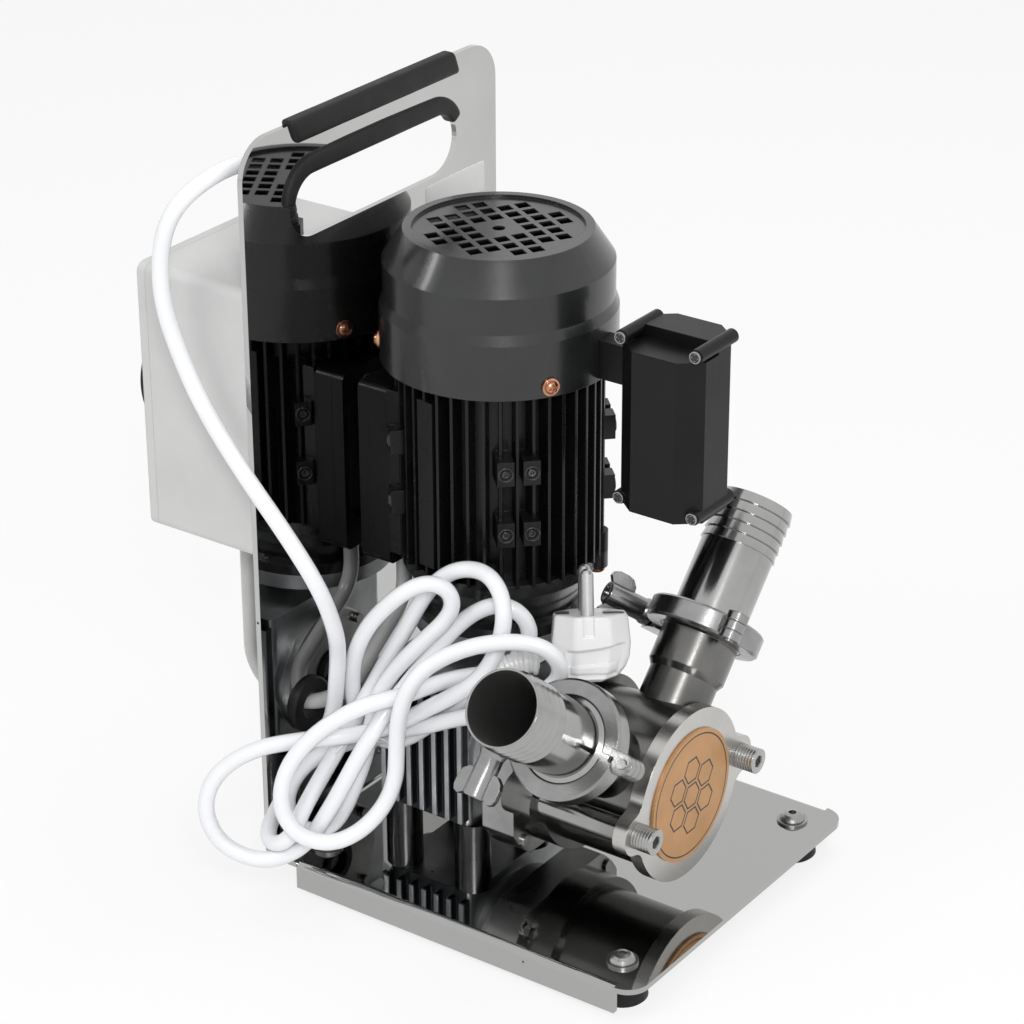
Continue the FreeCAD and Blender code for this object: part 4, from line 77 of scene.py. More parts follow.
def noise_node(tree, vector, scale, detail=4.0, roughness=0.55):
    """The factor of a noise at a scale in cycles per metre."""
    noise = tree.nodes.new("ShaderNodeTexNoise")
    noise.inputs["Scale"].default_value = scale
    noise.inputs["Detail"].default_value = detail
    noise.inputs["Roughness"].default_value = roughness
    tree.links.new(vector, noise.inputs["Vector"])
    return noise.outputs["Factor"] if "Factor" in noise.outputs else noise.outputs["Fac"]


def range_node(tree, value, low, high, to_low, to_high):
    """Maps a value's range onto another range."""
    spread = tree.nodes.new("ShaderNodeMapRange")
    for key, amount in (("From Min", low), ("From Max", high), ("To Min", to_low), ("To Max", to_high)):
        spread.inputs[key].default_value = amount
    tree.links.new(value, spread.inputs["Value"])
    return spread.outputs["Result"]


def maths_node(tree, operation, *values):
    """A Math node on sockets or numbers."""
    node = tree.nodes.new("ShaderNodeMath")
    node.operation = operation
    for number, value in enumerate(values):
        if isinstance(value, (int, float)):
            node.inputs[number].default_value = value
        else:
            tree.links.new(value, node.inputs[number])
    return node.outputs[0]


def split_node(tree, vector):
    """The x, y and z of a vector."""
    split = tree.nodes.new("ShaderNodeSeparateXYZ")
    tree.links.new(vector, split.inputs[0])
    return split.outputs["X"], split.outputs["Y"], split.outputs["Z"]


def mix_colours(tree, share, first, second):
    """Mixes two colours, or colour sockets, by a share."""
    mix = tree.nodes.new("ShaderNodeMix")
    mix.data_type = "RGBA"
    tree.links.new(share, mix.inputs["Factor"])
    for key, colour in (("A", first), ("B", second)):
        socket = [s for s in mix.inputs if s.name == key and s.type == "RGBA"][0]
        if isinstance(colour, tuple):
            socket.default_value = (*colour, 1)
        else:
            tree.links.new(colour, socket)
    return [s for s in mix.outputs if s.type == "RGBA"][0]


# Camera and light

def placing(right, up, back, place):
    """The matrix that turns an object to three directions and moves it to a place."""
    rows = [[float(part[i]) for part in (right, up, back, place)] for i in range(3)]
    return Matrix(rows + [(0, 0, 0, 1)])


def add_camera():
    """A camera at the photograph's place, given by its right, up and back directions."""
    data = bpy.data.cameras.new("camera")
    data.lens = 113.9
    data.sensor_width = 36.0
    data.clip_start, data.clip_end = 0.05, 50.0
    camera = bpy.data.objects.new("camera", data)
    right = (0.81550, 0.57874, -0.00342)
    up = (-0.25104, 0.35906, 0.89892)
    back = (0.52147, -0.73221, 0.43810)
    place = (0.81290, -1.18458, 0.90448)
    camera.matrix_world = placing(right, up, back, place)
    scene.collection.objects.link(camera)
    scene.camera = camera


def add_lamp(name, place, target, size, power, mirrored=True):
    """A square area lamp at a place, turned to face a target, which shows in reflections or not."""
    data = bpy.data.lights.new(name, "AREA")
    data.shape = "SQUARE"
    data.size = size
    data.energy = power
    lamp = bpy.data.objects.new(name, data)
    lamp.visible_glossy = mirrored
    scene.collection.objects.link(lamp)
    back = np.array(place, float) - np.array(target, float)
    back = back / np.linalg.norm(back)
    right = np.cross((0.0, 0.0, 1.0), back)
    right = right / np.linalg.norm(right)
    lamp.matrix_world = placing(right, np.cross(back, right), back, place)


def rays_node(tree, *kinds):
    """One where the ray is of any of the given kinds."""
    path = tree.nodes.new("ShaderNodeLightPath")
    share = path.outputs[kinds[0]]
    for kind in kinds[1:]:
        share = maths_node(tree, "MAXIMUM", share, path.outputs[kind])
    return share


def show_mix(tree, share, first, second, output):
    """Sends two shaders, mixed by a share, to an output."""
    mix = tree.nodes.new("ShaderNodeMixShader")
    for socket, number in ((share, 0), (first.outputs[0], 1), (second.outputs[0], 2)):
        tree.links.new(socket, mix.inputs[number])
    tree.links.new(mix.outputs[0], output.inputs["Surface"])


def add_world():
    """White where the camera, a reflection or glass looks past the object, and a plain soft light elsewhere."""
    world = bpy.data.worlds.new("studio")
    world.use_nodes = True
    scene.world = world
    tree = world.node_tree
    tree.nodes.clear()
    output = tree.nodes.new("ShaderNodeOutputWorld")
    seen, lit = tree.nodes.new("ShaderNodeBackground"), tree.nodes.new("ShaderNodeBackground")
    for background, strength in ((seen, 1.0), (lit, 0.45)):
        background.inputs["Color"].default_value = (1, 1, 1, 1)
        background.inputs["Strength"].default_value = strength
    looked_at = rays_node(tree, "Is Camera Ray", "Is Glossy Ray", "Is Transmission Ray")
    show_mix(tree, looked_at, lit, seen, output)


def add_floor():
    """A pale floor that looks nearly white to the camera and in reflections, and keeps the object's soft shadow."""
    half = 6.0
    mesh = bpy.data.meshes.new("floor")
    corners = [(-half, -half, 0), (half, -half, 0), (half, half, 0), (-half, half, 0)]
    mesh.from_pydata(corners, [], [(0, 1, 2, 3)])
    floor = bpy.data.objects.new("floor", mesh)
    scene.collection.objects.link(floor)
    material = bpy.data.materials.new("pale_floor")
    material.use_nodes = True
    tree = material.node_tree
    tree.nodes.clear()
    output = tree.nodes.new("ShaderNodeOutputMaterial")
    diffuse = tree.nodes.new("ShaderNodeBsdfDiffuse")
    diffuse.inputs["Color"].default_value = (0.86, 0.86, 0.86, 1)
    white = tree.nodes.new("ShaderNodeEmission")
    white.inputs["Color"].default_value = (1, 1, 1, 1)
    looked_at = rays_node(tree, "Is Camera Ray", "Is Glossy Ray")
    show_mix(tree, maths_node(tree, "MULTIPLY", looked_at, 0.8), diffuse, white, output)
    mesh.materials.append(material)


scene.view_settings.view_transform = "Standard"
add_camera()
add_world()
add_floor()
add_lamp("flash", (0.98, -1.25, 1.32), (0, 0, 0.18), 0.4, 13)
add_lamp("left", (-0.9, -1.7, 2.0), (0, 0, 0.18), 1.4, 18, False)
add_lamp("right", (2.2, -0.9, 1.2), (0, 0, 0.18), 1.6, 12, False)
add_lamp("top", (0.2, 0.6, 2.3), (0, 0, 0.2), 1.6, 18, False)


# Materials

def finish_of(name, colour, roughness, metallic=0.0, coat=0.0, specular=0.5):
    """A Principled material with its plain values set on the shader."""
    material = bpy.data.materials.new(name)
    material.use_nodes = True
    shader = material.node_tree.nodes["Principled BSDF"]
    shader.inputs["Base Color"].default_value = (*colour, 1)
    shader.inputs["Roughness"].default_value = roughness
    shader.inputs["Metallic"].default_value = metallic
    shader.inputs["Coat Weight"].default_value = coat
    shader.inputs["Coat Roughness"].default_value = 0.12
    shader.inputs["Specular IOR Level"].default_value = specular
    return material


def radius_node(tree, first, second):
    """The distance from an axis, from the two coordinates across it."""
    squares = [maths_node(tree, "MULTIPLY", value, value) for value in (first, second)]
    return maths_node(tree, "SQRT", maths_node(tree, "ADD", *squares))


def off_node(tree, value, middle):
    """How far a value lies from a middle value."""
    return maths_node(tree, "ABSOLUTE", maths_node(tree, "SUBTRACT", value, middle))


def add_bump(material, height, strength, distance):
    """Feeds a height into the shader's normal as a bump, over any bump already there."""
    tree = material.node_tree
    shader = tree.nodes["Principled BSDF"]
    bump = tree.nodes.new("ShaderNodeBump")
    bump.inputs["Strength"].default_value = strength
    bump.inputs["Distance"].default_value = distance
    tree.links.new(height, bump.inputs["Height"])
    if shader.inputs["Normal"].is_linked:
        tree.links.new(shader.inputs["Normal"].links[0].from_socket, bump.inputs["Normal"])
    tree.links.new(bump.outputs["Normal"], shader.inputs["Normal"])


def soften_edges(material, radius):
    """Rounds the look of sharp edges over a radius."""
    tree = material.node_tree
    bevel = tree.nodes.new("ShaderNodeBevel")
    bevel.samples = 4
    bevel.inputs["Radius"].default_value = radius
    tree.links.new(bevel.outputs["Normal"], tree.nodes["Principled BSDF"].inputs["Normal"])
    return material


def paint_over(material, share, colour):
    """Mixes a colour, by a share, over the colour that the shader has so far."""
    tree = material.node_tree
    socket = tree.nodes["Principled BSDF"].inputs["Base Color"]
    plain = socket.links[0].from_socket
    tree.links.new(mix_colours(tree, share, plain, colour), socket)


def worn(material, colour_a, colour_b, rough, scale, bump=None, stretch=(1, 1, 1)):
    """Varies a finish by noise: two near colours, a span of roughness and an optional bump, which is given as its
    scale, strength and distance."""
    tree = material.node_tree
    shader = tree.nodes["Principled BSDF"]
    vector = place_node(tree, stretch=stretch)
    cloud = noise_node(tree, vector, scale)
    share = range_node(tree, cloud, 0.3, 0.7, 0.0, 1.0)
    tree.links.new(mix_colours(tree, share, colour_a, colour_b), shader.inputs["Base Color"])
    tree.links.new(range_node(tree, cloud, 0.3, 0.7, rough[0], rough[1]), shader.inputs["Roughness"])
    if bump:
        fine = noise_node(tree, vector, bump[0], 3.0, 0.6)
        add_bump(material, fine, bump[1], bump[2])
    return material


def mirror_steel():
    """Polished sheet: nearly a mirror, a little duller on the deck, with a faint grain and sparse dark specks."""
    material = finish_of("mirror_steel", (0.52, 0.52, 0.515), 0.03, 1.0)
    worn(material, (0.55, 0.55, 0.545), (0.46, 0.46, 0.455), (0.012, 0.035), 7.0)
    tree = material.node_tree
    vector = place_node(tree)
    deck = maths_node(tree, "LESS_THAN", split_node(tree, vector)[2], DECK_LIMIT)
    paint_over(material, deck, (0.40, 0.40, 0.395))
    cells = tree.nodes.new("ShaderNodeTexVoronoi")
    cells.inputs["Scale"].default_value = 62.0
    tree.links.new(vector, cells.inputs["Vector"])
    near = maths_node(tree, "LESS_THAN", cells.outputs["Distance"], 0.045)
    rare = maths_node(tree, "GREATER_THAN", split_node(tree, cells.outputs["Color"])[0], 0.72)
    paint_over(material, maths_node(tree, "MULTIPLY", near, rare), (0.05, 0.05, 0.05))
    grain = noise_node(tree, place_node(tree, stretch=(30, 1, 1)), 40.0, 2.0)
    add_bump(material, grain, 0.02, 0.0001)
    return material


def turned_steel(name, colour, dark, rough, marks_stretch):
    """Machined steel with fine marks along X, from a noise that is squeezed along the other two axes."""
    material = finish_of(name, colour, rough[0], 1.0)
    soften_edges(material, 0.0004)
    worn(material, colour, dark, rough, 22.0)
    tree = material.node_tree
    marks = noise_node(tree, place_node(tree, stretch=marks_stretch), 120.0, 2.0)
    add_bump(material, marks, 0.08, 0.0002)
    return material


def tail_steel(name, direction):
    """A hose tail's steel: bright outside, and dull grey within the bore, told by the distance from its axis."""
    material = finish_of(name, (0.42, 0.42, 0.415), 0.16, 1.0)
    soften_edges(material, 0.0003)
    tree = material.node_tree
    shader = tree.nodes["Principled BSDF"]
    vector = place_node(tree, (PORT_X, PUMP_Y, PUMP_Z))
    cross, length = tree.nodes.new("ShaderNodeVectorMath"), tree.nodes.new("ShaderNodeVectorMath")
    cross.operation, length.operation = "CROSS_PRODUCT", "LENGTH"
    cross.inputs[1].default_value = direction
    tree.links.new(vector, cross.inputs[0])
    tree.links.new(cross.outputs[0], length.inputs[0])
    inner = maths_node(tree, "LESS_THAN", length.outputs["Value"], BORE_LIMIT)
    cloud = noise_node(tree, vector, 26.0)
    share = range_node(tree, cloud, 0.3, 0.7, 0.0, 1.0)
    outside = mix_colours(tree, share, (0.43, 0.43, 0.425), (0.32, 0.32, 0.315))
    tree.links.new(mix_colours(tree, inner, outside, (0.38, 0.38, 0.375)), shader.inputs["Base Color"])
    tree.links.new(range_node(tree, inner, 0.0, 1.0, 0.15, 0.45), shader.inputs["Roughness"])
    fine = noise_node(tree, vector, 700.0, 2.0)
    add_bump(material, fine, 0.06, 0.0001)
    return material


def bolt_steel():
    """Turned bolt steel with fine grooves round the X axis."""
    material = turned_steel("bolt_steel", (0.50, 0.50, 0.49), (0.34, 0.34, 0.335), (0.2, 0.34), (1, 8, 8))
    tree = material.node_tree
    along = split_node(tree, place_node(tree))[0]
    groove_pitch = 0.0016
    wave = maths_node(tree, "SINE", maths_node(tree, "MULTIPLY", along, 2 * math.pi / groove_pitch))
    add_bump(material, wave, 0.35, 0.0003)
    return material


def cast_alloy(name, colour, dark, rough, grit=0.25):
    """Cast metal with a fine sandy skin and soft edges."""
    material = finish_of(name, colour, rough[0], 1.0)
    soften_edges(material, 0.0007)
    return worn(material, colour, dark, rough, 45.0, (900.0, grit, 0.0004))


def black_enamel(name, colour, rough, coat, bump, specular=0.5):
    """Black paint or plastic with a faint orange peel and paler clouds in it."""
    material = finish_of(name, colour, rough[0], 0.0, coat, specular)
    soften_edges(material, 0.0006)
    pale = tuple(1.7 * c for c in colour)
    return worn(material, colour, pale, rough, 30.0, bump)


def badge_art():
    """Tan disc with a thin dark ring and a comb of hexagon cells, as lines of even width on the face."""
    material = finish_of("badge_art", (0.48, 0.27, 0.12), 0.42, 0.2)
    tree = material.node_tree
    shader = tree.nodes["Principled BSDF"]
    vector = place_node(tree, (BADGE_FACE_X, PUMP_Y, PUMP_Z))
    y, z = split_node(tree, vector)[1:]

    def hexagon_lines(y_middle, z_middle, reach, width):
        """One where the point lies within half a width of a hexagon's outline."""
        across, up = off_node(tree, y, y_middle), off_node(tree, z, z_middle)
        slanted = maths_node(tree, "ADD", maths_node(tree, "MULTIPLY", across, math.cos(math.radians(30))),
                             maths_node(tree, "MULTIPLY", up, 0.5))
        edge = maths_node(tree, "MAXIMUM", slanted, up)
        return maths_node(tree, "LESS_THAN", off_node(tree, edge, reach), width / 2)

    ring_radius, ring_width, pitch, cell_gap, line_width = 0.0322, 0.0008, 0.0142, 0.0022, 0.0009
    rim = off_node(tree, radius_node(tree, y, z), ring_radius)
    lines = maths_node(tree, "LESS_THAN", rim, ring_width / 2)
    for step in range(7):
        angle = math.radians(60 * step + 30)
        reach = 0 if step == 6 else pitch
        cell = hexagon_lines(reach * math.cos(angle), reach * math.sin(angle), (pitch - cell_gap) / 2, line_width)
        lines = maths_node(tree, "MAXIMUM", lines, cell)
    cloud = noise_node(tree, vector, 60.0)
    share = range_node(tree, cloud, 0.3, 0.7, 0.0, 1.0)
    tan = mix_colours(tree, share, (0.51, 0.275, 0.115), (0.44, 0.23, 0.092))
    tree.links.new(mix_colours(tree, lines, tan, (0.03, 0.024, 0.02)), shader.inputs["Base Color"])
    return material


def lid_moulding():
    """Pale moulding with a generic dial of tick marks round the knob's axis."""
    material = finish_of("lid_moulding", (0.55, 0.55, 0.545), 0.4)
    soften_edges(material, 0.0008)
    worn(material, (0.57, 0.57, 0.565), (0.53, 0.53, 0.525), (0.34, 0.46), 20.0, (1300.0, 0.12, 0.0002))
    tree = material.node_tree
    y, z = split_node(tree, place_node(tree, (0, KNOB_Y, KNOB_Z)))[1:]
    radius = radius_node(tree, y, z)
    angle = maths_node(tree, "ARCTAN2", y, z)
    step, tick_width, tick_start, tick_end = math.radians(30), 0.0008, 0.0362, 0.0405
    turns = maths_node(tree, "ADD", maths_node(tree, "DIVIDE", angle, step), 0.5)
    off = off_node(tree, maths_node(tree, "FRACT", turns), 0.5)
    arc = maths_node(tree, "MULTIPLY", off, maths_node(tree, "MULTIPLY", radius, step))
    thin = maths_node(tree, "LESS_THAN", arc, tick_width / 2)
    inside = maths_node(tree, "MULTIPLY", maths_node(tree, "GREATER_THAN", radius, tick_start),
                        maths_node(tree, "LESS_THAN", radius, tick_end))
    used = maths_node(tree, "LESS_THAN", maths_node(tree, "ABSOLUTE", angle), math.radians(155))
    ticks = maths_node(tree, "MULTIPLY", maths_node(tree, "MULTIPLY", thin, inside), used)
    paint_over(material, ticks, (0.03, 0.03, 0.03))
    return material


def knob_moulding():
    """Black knob with a pale pointer line on its face, at the start of the dial."""
    material = black_enamel("knob_moulding", *MOULDED_BLACK)
    tree = material.node_tree
    x, y, z = split_node(tree, place_node(tree, (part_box("speed_knob")[0][0], KNOB_Y, KNOB_Z)))
    cosine, sine = 0.866, 0.5
    along = maths_node(tree, "SUBTRACT", maths_node(tree, "MULTIPLY", y, -sine),
                       maths_node(tree, "MULTIPLY", z, cosine))
    across = maths_node(tree, "SUBTRACT", maths_node(tree, "MULTIPLY", y, cosine),
                        maths_node(tree, "MULTIPLY", z, sine))
    middle, half_length, half_width = 0.0205, 0.0075, 0.0010
    thin = maths_node(tree, "LESS_THAN", maths_node(tree, "ABSOLUTE", across), half_width)
    span = maths_node(tree, "LESS_THAN", off_node(tree, along, middle), half_length)
    on_face = maths_node(tree, "LESS_THAN", x, 0.001)
    line = maths_node(tree, "MULTIPLY", maths_node(tree, "MULTIPLY", thin, span), on_face)
    paint_over(material, line, (0.7, 0.7, 0.69))
    return material


def ribbed_alloy():
    """Gearbox casting, with painted shade darkening the gap between its ribs."""
    material = cast_alloy("ribbed_alloy", (0.55, 0.56, 0.57), (0.42, 0.43, 0.44), (0.32, 0.5))
    tree = material.node_tree
    y = split_node(tree, place_node(tree))[1]
    shade_low, shade_high = -0.0532, -0.0488
    painted_shade = maths_node(tree, "MULTIPLY", maths_node(tree, "GREATER_THAN", y, shade_low),
                     maths_node(tree, "LESS_THAN", y, shade_high))
    # Painted shade: a dark colour laid over the recess between the ribs, where shade falls.
    paint_over(material, painted_shade, (0.06, 0.065, 0.07))
    return material


def gloss_sheath(name, colour, dark):
    """Glossy cable sheath with slight changes of tone."""
    return worn(finish_of(name, colour, 0.25, 0.0, 0.3), colour, dark, (0.18, 0.26), 30.0)


def rubber():
    """Matt rubber with a fine grain and soft edges."""
    material = soften_edges(finish_of("rubber", (0.006, 0.006, 0.006), 0.5, 0, 0, 0.3), 0.0009)
    return worn(material, (0.004, 0.004, 0.004), (0.012, 0.012, 0.0115), (0.42, 0.62), 90.0, (1500.0, 0.25, 0.0003))


def board():
    """Green lacquered circuit board."""
    return worn(finish_of("board", (0.03, 0.16, 0.08), 0.4), (0.03, 0.17, 0.08), (0.02, 0.12, 0.06), (0.3, 0.5), 90.0)


def moulding(name, colour, dark, rough, bump=(1300.0, 0.12, 0.0002), coat=0.0, edge=0.0008):
    """Moulded plastic with a fine skin."""
    material = finish_of(name, colour, rough[0], 0.0, coat)
    soften_edges(material, edge)
    return worn(material, colour, dark, rough, 24.0, bump)


def plain_metal(name, colour, dark, rough, scale=90.0):
    """Plated metal with small changes of tone."""
    material = finish_of(name, colour, rough[0], 1.0)
    soften_edges(material, 0.0003)
    return worn(material, colour, dark, rough, scale, (600.0, 0.08, 0.0002))


MOULDED_BLACK = ((0.004, 0.004, 0.0045), (0.3, 0.42), 0.0, (1100.0, 0.2, 0.0003), 0.22)

# The values of each finish, under the function that makes it.
FINISH_VALUES = {
    turned_steel: {
        # Painted reflection: the barrel's steel has a dark base colour that stands in for the dark surroundings it
        # reflects.
        "barrel_steel": ((0.20, 0.198, 0.192), (0.12, 0.119, 0.115), (0.17, 0.28), (1, 12, 12)),
        "cover_steel": ((0.60, 0.59, 0.57), (0.50, 0.49, 0.475), (0.2, 0.32), (1, 12, 12)),
        "rod_steel": ((0.36, 0.36, 0.355), (0.24, 0.24, 0.235), (0.12, 0.22), (1, 6, 6)),
    },
    tail_steel: {
        "inlet_steel": (INLET_WAY,),
        "outlet_steel": (OUTLET_WAY,),
    },
    cast_alloy: {
        "clamp_steel": ((0.36, 0.36, 0.358), (0.25, 0.25, 0.248), (0.17, 0.30), 0.12),
        "cast_alloy": ((0.50, 0.50, 0.50), (0.38, 0.38, 0.38), (0.34, 0.5)),
    },
    plain_metal: {
        "zinc": ((0.42, 0.42, 0.415), (0.28, 0.28, 0.275), (0.2, 0.38)),
        "dark_steel": ((0.12, 0.12, 0.12), (0.07, 0.07, 0.07), (0.14, 0.26)),
        "nickel": ((0.58, 0.58, 0.58), (0.50, 0.50, 0.50), (0.34, 0.46)),
        "copper": ((0.62, 0.33, 0.20), (0.42, 0.20, 0.12), (0.18, 0.34), 200.0),
        "bronze": ((0.60, 0.42, 0.22), (0.5, 0.34, 0.17), (0.25, 0.4)),
    },
    black_enamel: {
        "black_cowl": ((0.008, 0.0084, 0.0084), (0.22, 0.32), 0.3, (420.0, 0.05, 0.0004)),
        "black_fins": ((0.0035, 0.0035, 0.004), (0.22, 0.34), 0.0, (600.0, 0.1, 0.0004), 0.3),
        "black_moulding": MOULDED_BLACK,
    },
    moulding: {
        "pale_moulding": ((0.57, 0.57, 0.565), (0.53, 0.53, 0.525), (0.34, 0.46)),
        "white_moulding": ((0.78, 0.78, 0.785), (0.73, 0.73, 0.735), (0.25, 0.36), (1300.0, 0.08, 0.0002), 0.2, 0.0004),
        "label_film": ((0.74, 0.74, 0.735), (0.68, 0.68, 0.675), (0.3, 0.4), (500.0, 0.03, 0.0001), 0.2, 0.0001),
    },
    gloss_sheath: {
        "white_sheath": ((0.85, 0.86, 0.88), (0.80, 0.81, 0.83)),
        "grey_sheath": ((0.52, 0.53, 0.52), (0.44, 0.45, 0.44)),
    },
}

PLAIN_MAKERS = (mirror_steel, bolt_steel, ribbed_alloy, badge_art, lid_moulding, knob_moulding, rubber, board)
FINISHES = {make.__name__: make() for make in PLAIN_MAKERS}
for make, table in FINISH_VALUES.items():
    FINISHES.update({name: make(name, *values) for name, values in table.items()})

NODE_FINISHES = {
    "mirror_steel": ["frame_plate"],
    "barrel_steel": ["pump_body", "cam_insert", "pump_shaft", "motor_shaft"],
    "cover_steel": ["pump_cover"],
    "inlet_steel": ["inlet_tail"],
    "outlet_steel": ["outlet_tail"],
    "rod_steel": ["cover_rods"],
    "clamp_steel": ["inlet_clamp_halves", "outlet_clamp_halves", "inlet_swing_bolt", "inlet_wing_nut",
                    "outlet_swing_bolt", "outlet_wing_nut", "adapter_block"],
    "bolt_steel": ["cover_bolts"],
    "nickel": ["plug_pins"],
    "zinc": ["foot_bolts", "gearbox_screws", "bearings", "worm", "rotor_core", "stator", "clamp_pins", "box_screws"],
    "dark_steel": ["standoffs"],
    "ribbed_alloy": ["gearbox_housing"],
    "cast_alloy": ["gearbox_cover", "output_flange"],
    "black_cowl": ["fan_cowl", "upper_shield", "motor_flange"],
    "black_fins": ["motor_body"],
    "black_moulding": ["terminal_base", "terminal_lid", "capacitor_front", "capacitor_rear", "cooling_fan",
                       "cable_glands"],
    "knob_moulding": ["speed_knob"],
    "rubber": ["edge_trims", "rubber_feet", "cable_grommet", "shaft_seals", "gaskets", "impeller"],
    "copper": ["motor_screws"],
    "bronze": ["worm_wheel"],
    "pale_moulding": ["control_box"],
    "lid_moulding": ["control_lid"],
    "white_moulding": ["terminal_block", "capacitor_cell", "mains_plug"],
    "white_sheath": ["mains_cord", "plug_lead", "cord_hank"],
    "grey_sheath": ["motor_cable"],
    "board": ["control_board"],
    "badge_art": ["cover_badge"],
}


def dress_nodes():
    """Gives each CAD node the finish that NODE_FINISHES names for it."""
    for name, members in NODE_FINISHES.items():
        for member in members:
            mesh = cad_nodes[member].data
            mesh.materials.clear()
            mesh.materials.append(FINISHES[name])


dress_nodes()


# Surfaces

def skin(name, sheets, finish, body):
    """One mesh from sheets of points: each is a grid of rows and columns whose neighbours are joined by quads."""
    places, quads, start = [], [], 0
    for grid, rows_close, columns_close in sheets:
        rows, columns = grid.shape[:2]
        index = np.arange(rows * columns).reshape(rows, columns) + start
        if rows_close:
            index = np.vstack([index, index[:1]])
        if columns_close:
            index = np.hstack([index, index[:, :1]])
        corners = (index[:-1, :-1], index[:-1, 1:], index[1:, 1:], index[1:, :-1])
        quads.append(np.stack(corners, axis=-1).reshape(-1, 4))
        places.append(grid.reshape(-1, 3))
        start += rows * columns
    mesh = bpy.data.meshes.new(name)
    mesh.from_pydata(np.vstack(places).tolist(), [], np.vstack(quads).tolist())
    work = bmesh.new()
    work.from_mesh(mesh)
    bmesh.ops.remove_doubles(work, verts=work.verts, dist=1e-6)
    bmesh.ops.recalc_face_normals(work, faces=work.faces)
    work.to_mesh(mesh)
    work.free()
    mesh.polygons.foreach_set("use_smooth", np.full(len(mesh.polygons), True))
    mesh.materials.append(finish)
    piece = bpy.data.objects.new(name, mesh)
    scene.collection.objects.link(piece)
    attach(piece, body)
    return piece


def full_turn(count):
    """Even angles round a full turn."""
    return np.linspace(0, 2 * np.pi, count, endpoint=False)


def unit_rows(vectors):
    """Vectors, one in each row, scaled to length one."""
    return vectors / np.linalg.norm(vectors, axis=1)[:, None]


def run_along(line):
    """The length along a line at each of its points."""
    return np.concatenate([[0], np.cumsum(np.linalg.norm(np.diff(line, axis=0), axis=1))])


def axes_about(direction):
    """A unit direction with two unit vectors square to it."""
    along = np.array(direction, float) / np.linalg.norm(direction)
    guide = np.array((0.0, 0.0, 1.0)) if abs(along[2]) < 0.9 else np.array((1.0, 0.0, 0.0))
    across = np.cross(guide, along)
    across = across / np.linalg.norm(across)
    return along, across, np.cross(along, across)


def recessed_head(centre, direction, profile, recess, turn=0.0):
    """A round head with a cross recess: at radius r and angle a its height is the profile's, less the recess's
    depth where the point lies within half the recess's width of either arm and inside its reach."""
    along, across, up = axes_about(direction)
    rings, sides = 34, 64
    share, knots = np.linspace(0, 1, rings), np.linspace(0, 1, len(profile))
    radius, height = (np.interp(share, knots, values)[:, None] for values in zip(*profile))
    angle = full_turn(sides)[None, :] + turn
    reach, width, depth = recess
    u, v = radius * np.cos(angle), radius * np.sin(angle)
    arm = np.minimum(np.abs(u), np.abs(v))
    inside = np.clip((width / 2 - arm) / 0.0002 + 0.5, 0, 1) * np.clip((reach - radius) / 0.0003 + 0.5, 0, 1)
    rise = height - depth * inside
    return (np.array(centre) + u[..., None] * across + v[..., None] * up + rise[..., None] * along, False, True)


def tube_sheet(line, radii, sides=20, closed=False):
    """A round tube: at each point of a line a circle of that point's radius stands square to the line."""
    if closed:
        ahead = unit_rows(np.roll(line, -1, axis=0) - np.roll(line, 1, axis=0))
    else:
        ahead = unit_rows(np.gradient(line, axis=0))
    guide = np.eye(3)[int(np.argmin(np.abs(ahead).max(axis=0)))]
    across = unit_rows(np.cross(guide, ahead))
    up = np.cross(ahead, across)
    angle = full_turn(sides)
    circle = np.cos(angle)[None, :, None] * across[:, None, :] + np.sin(angle)[None, :, None] * up[:, None, :]
    grid = line[:, None, :] + np.asarray(radii)[:, None, None] * circle
    if not closed:
        first = np.repeat(line[:1, None, :], sides, axis=1)
        last = np.repeat(line[-1:, None, :], sides, axis=1)
        grid = np.concatenate([first, grid, last])
    return (grid, closed, True)


# Cords

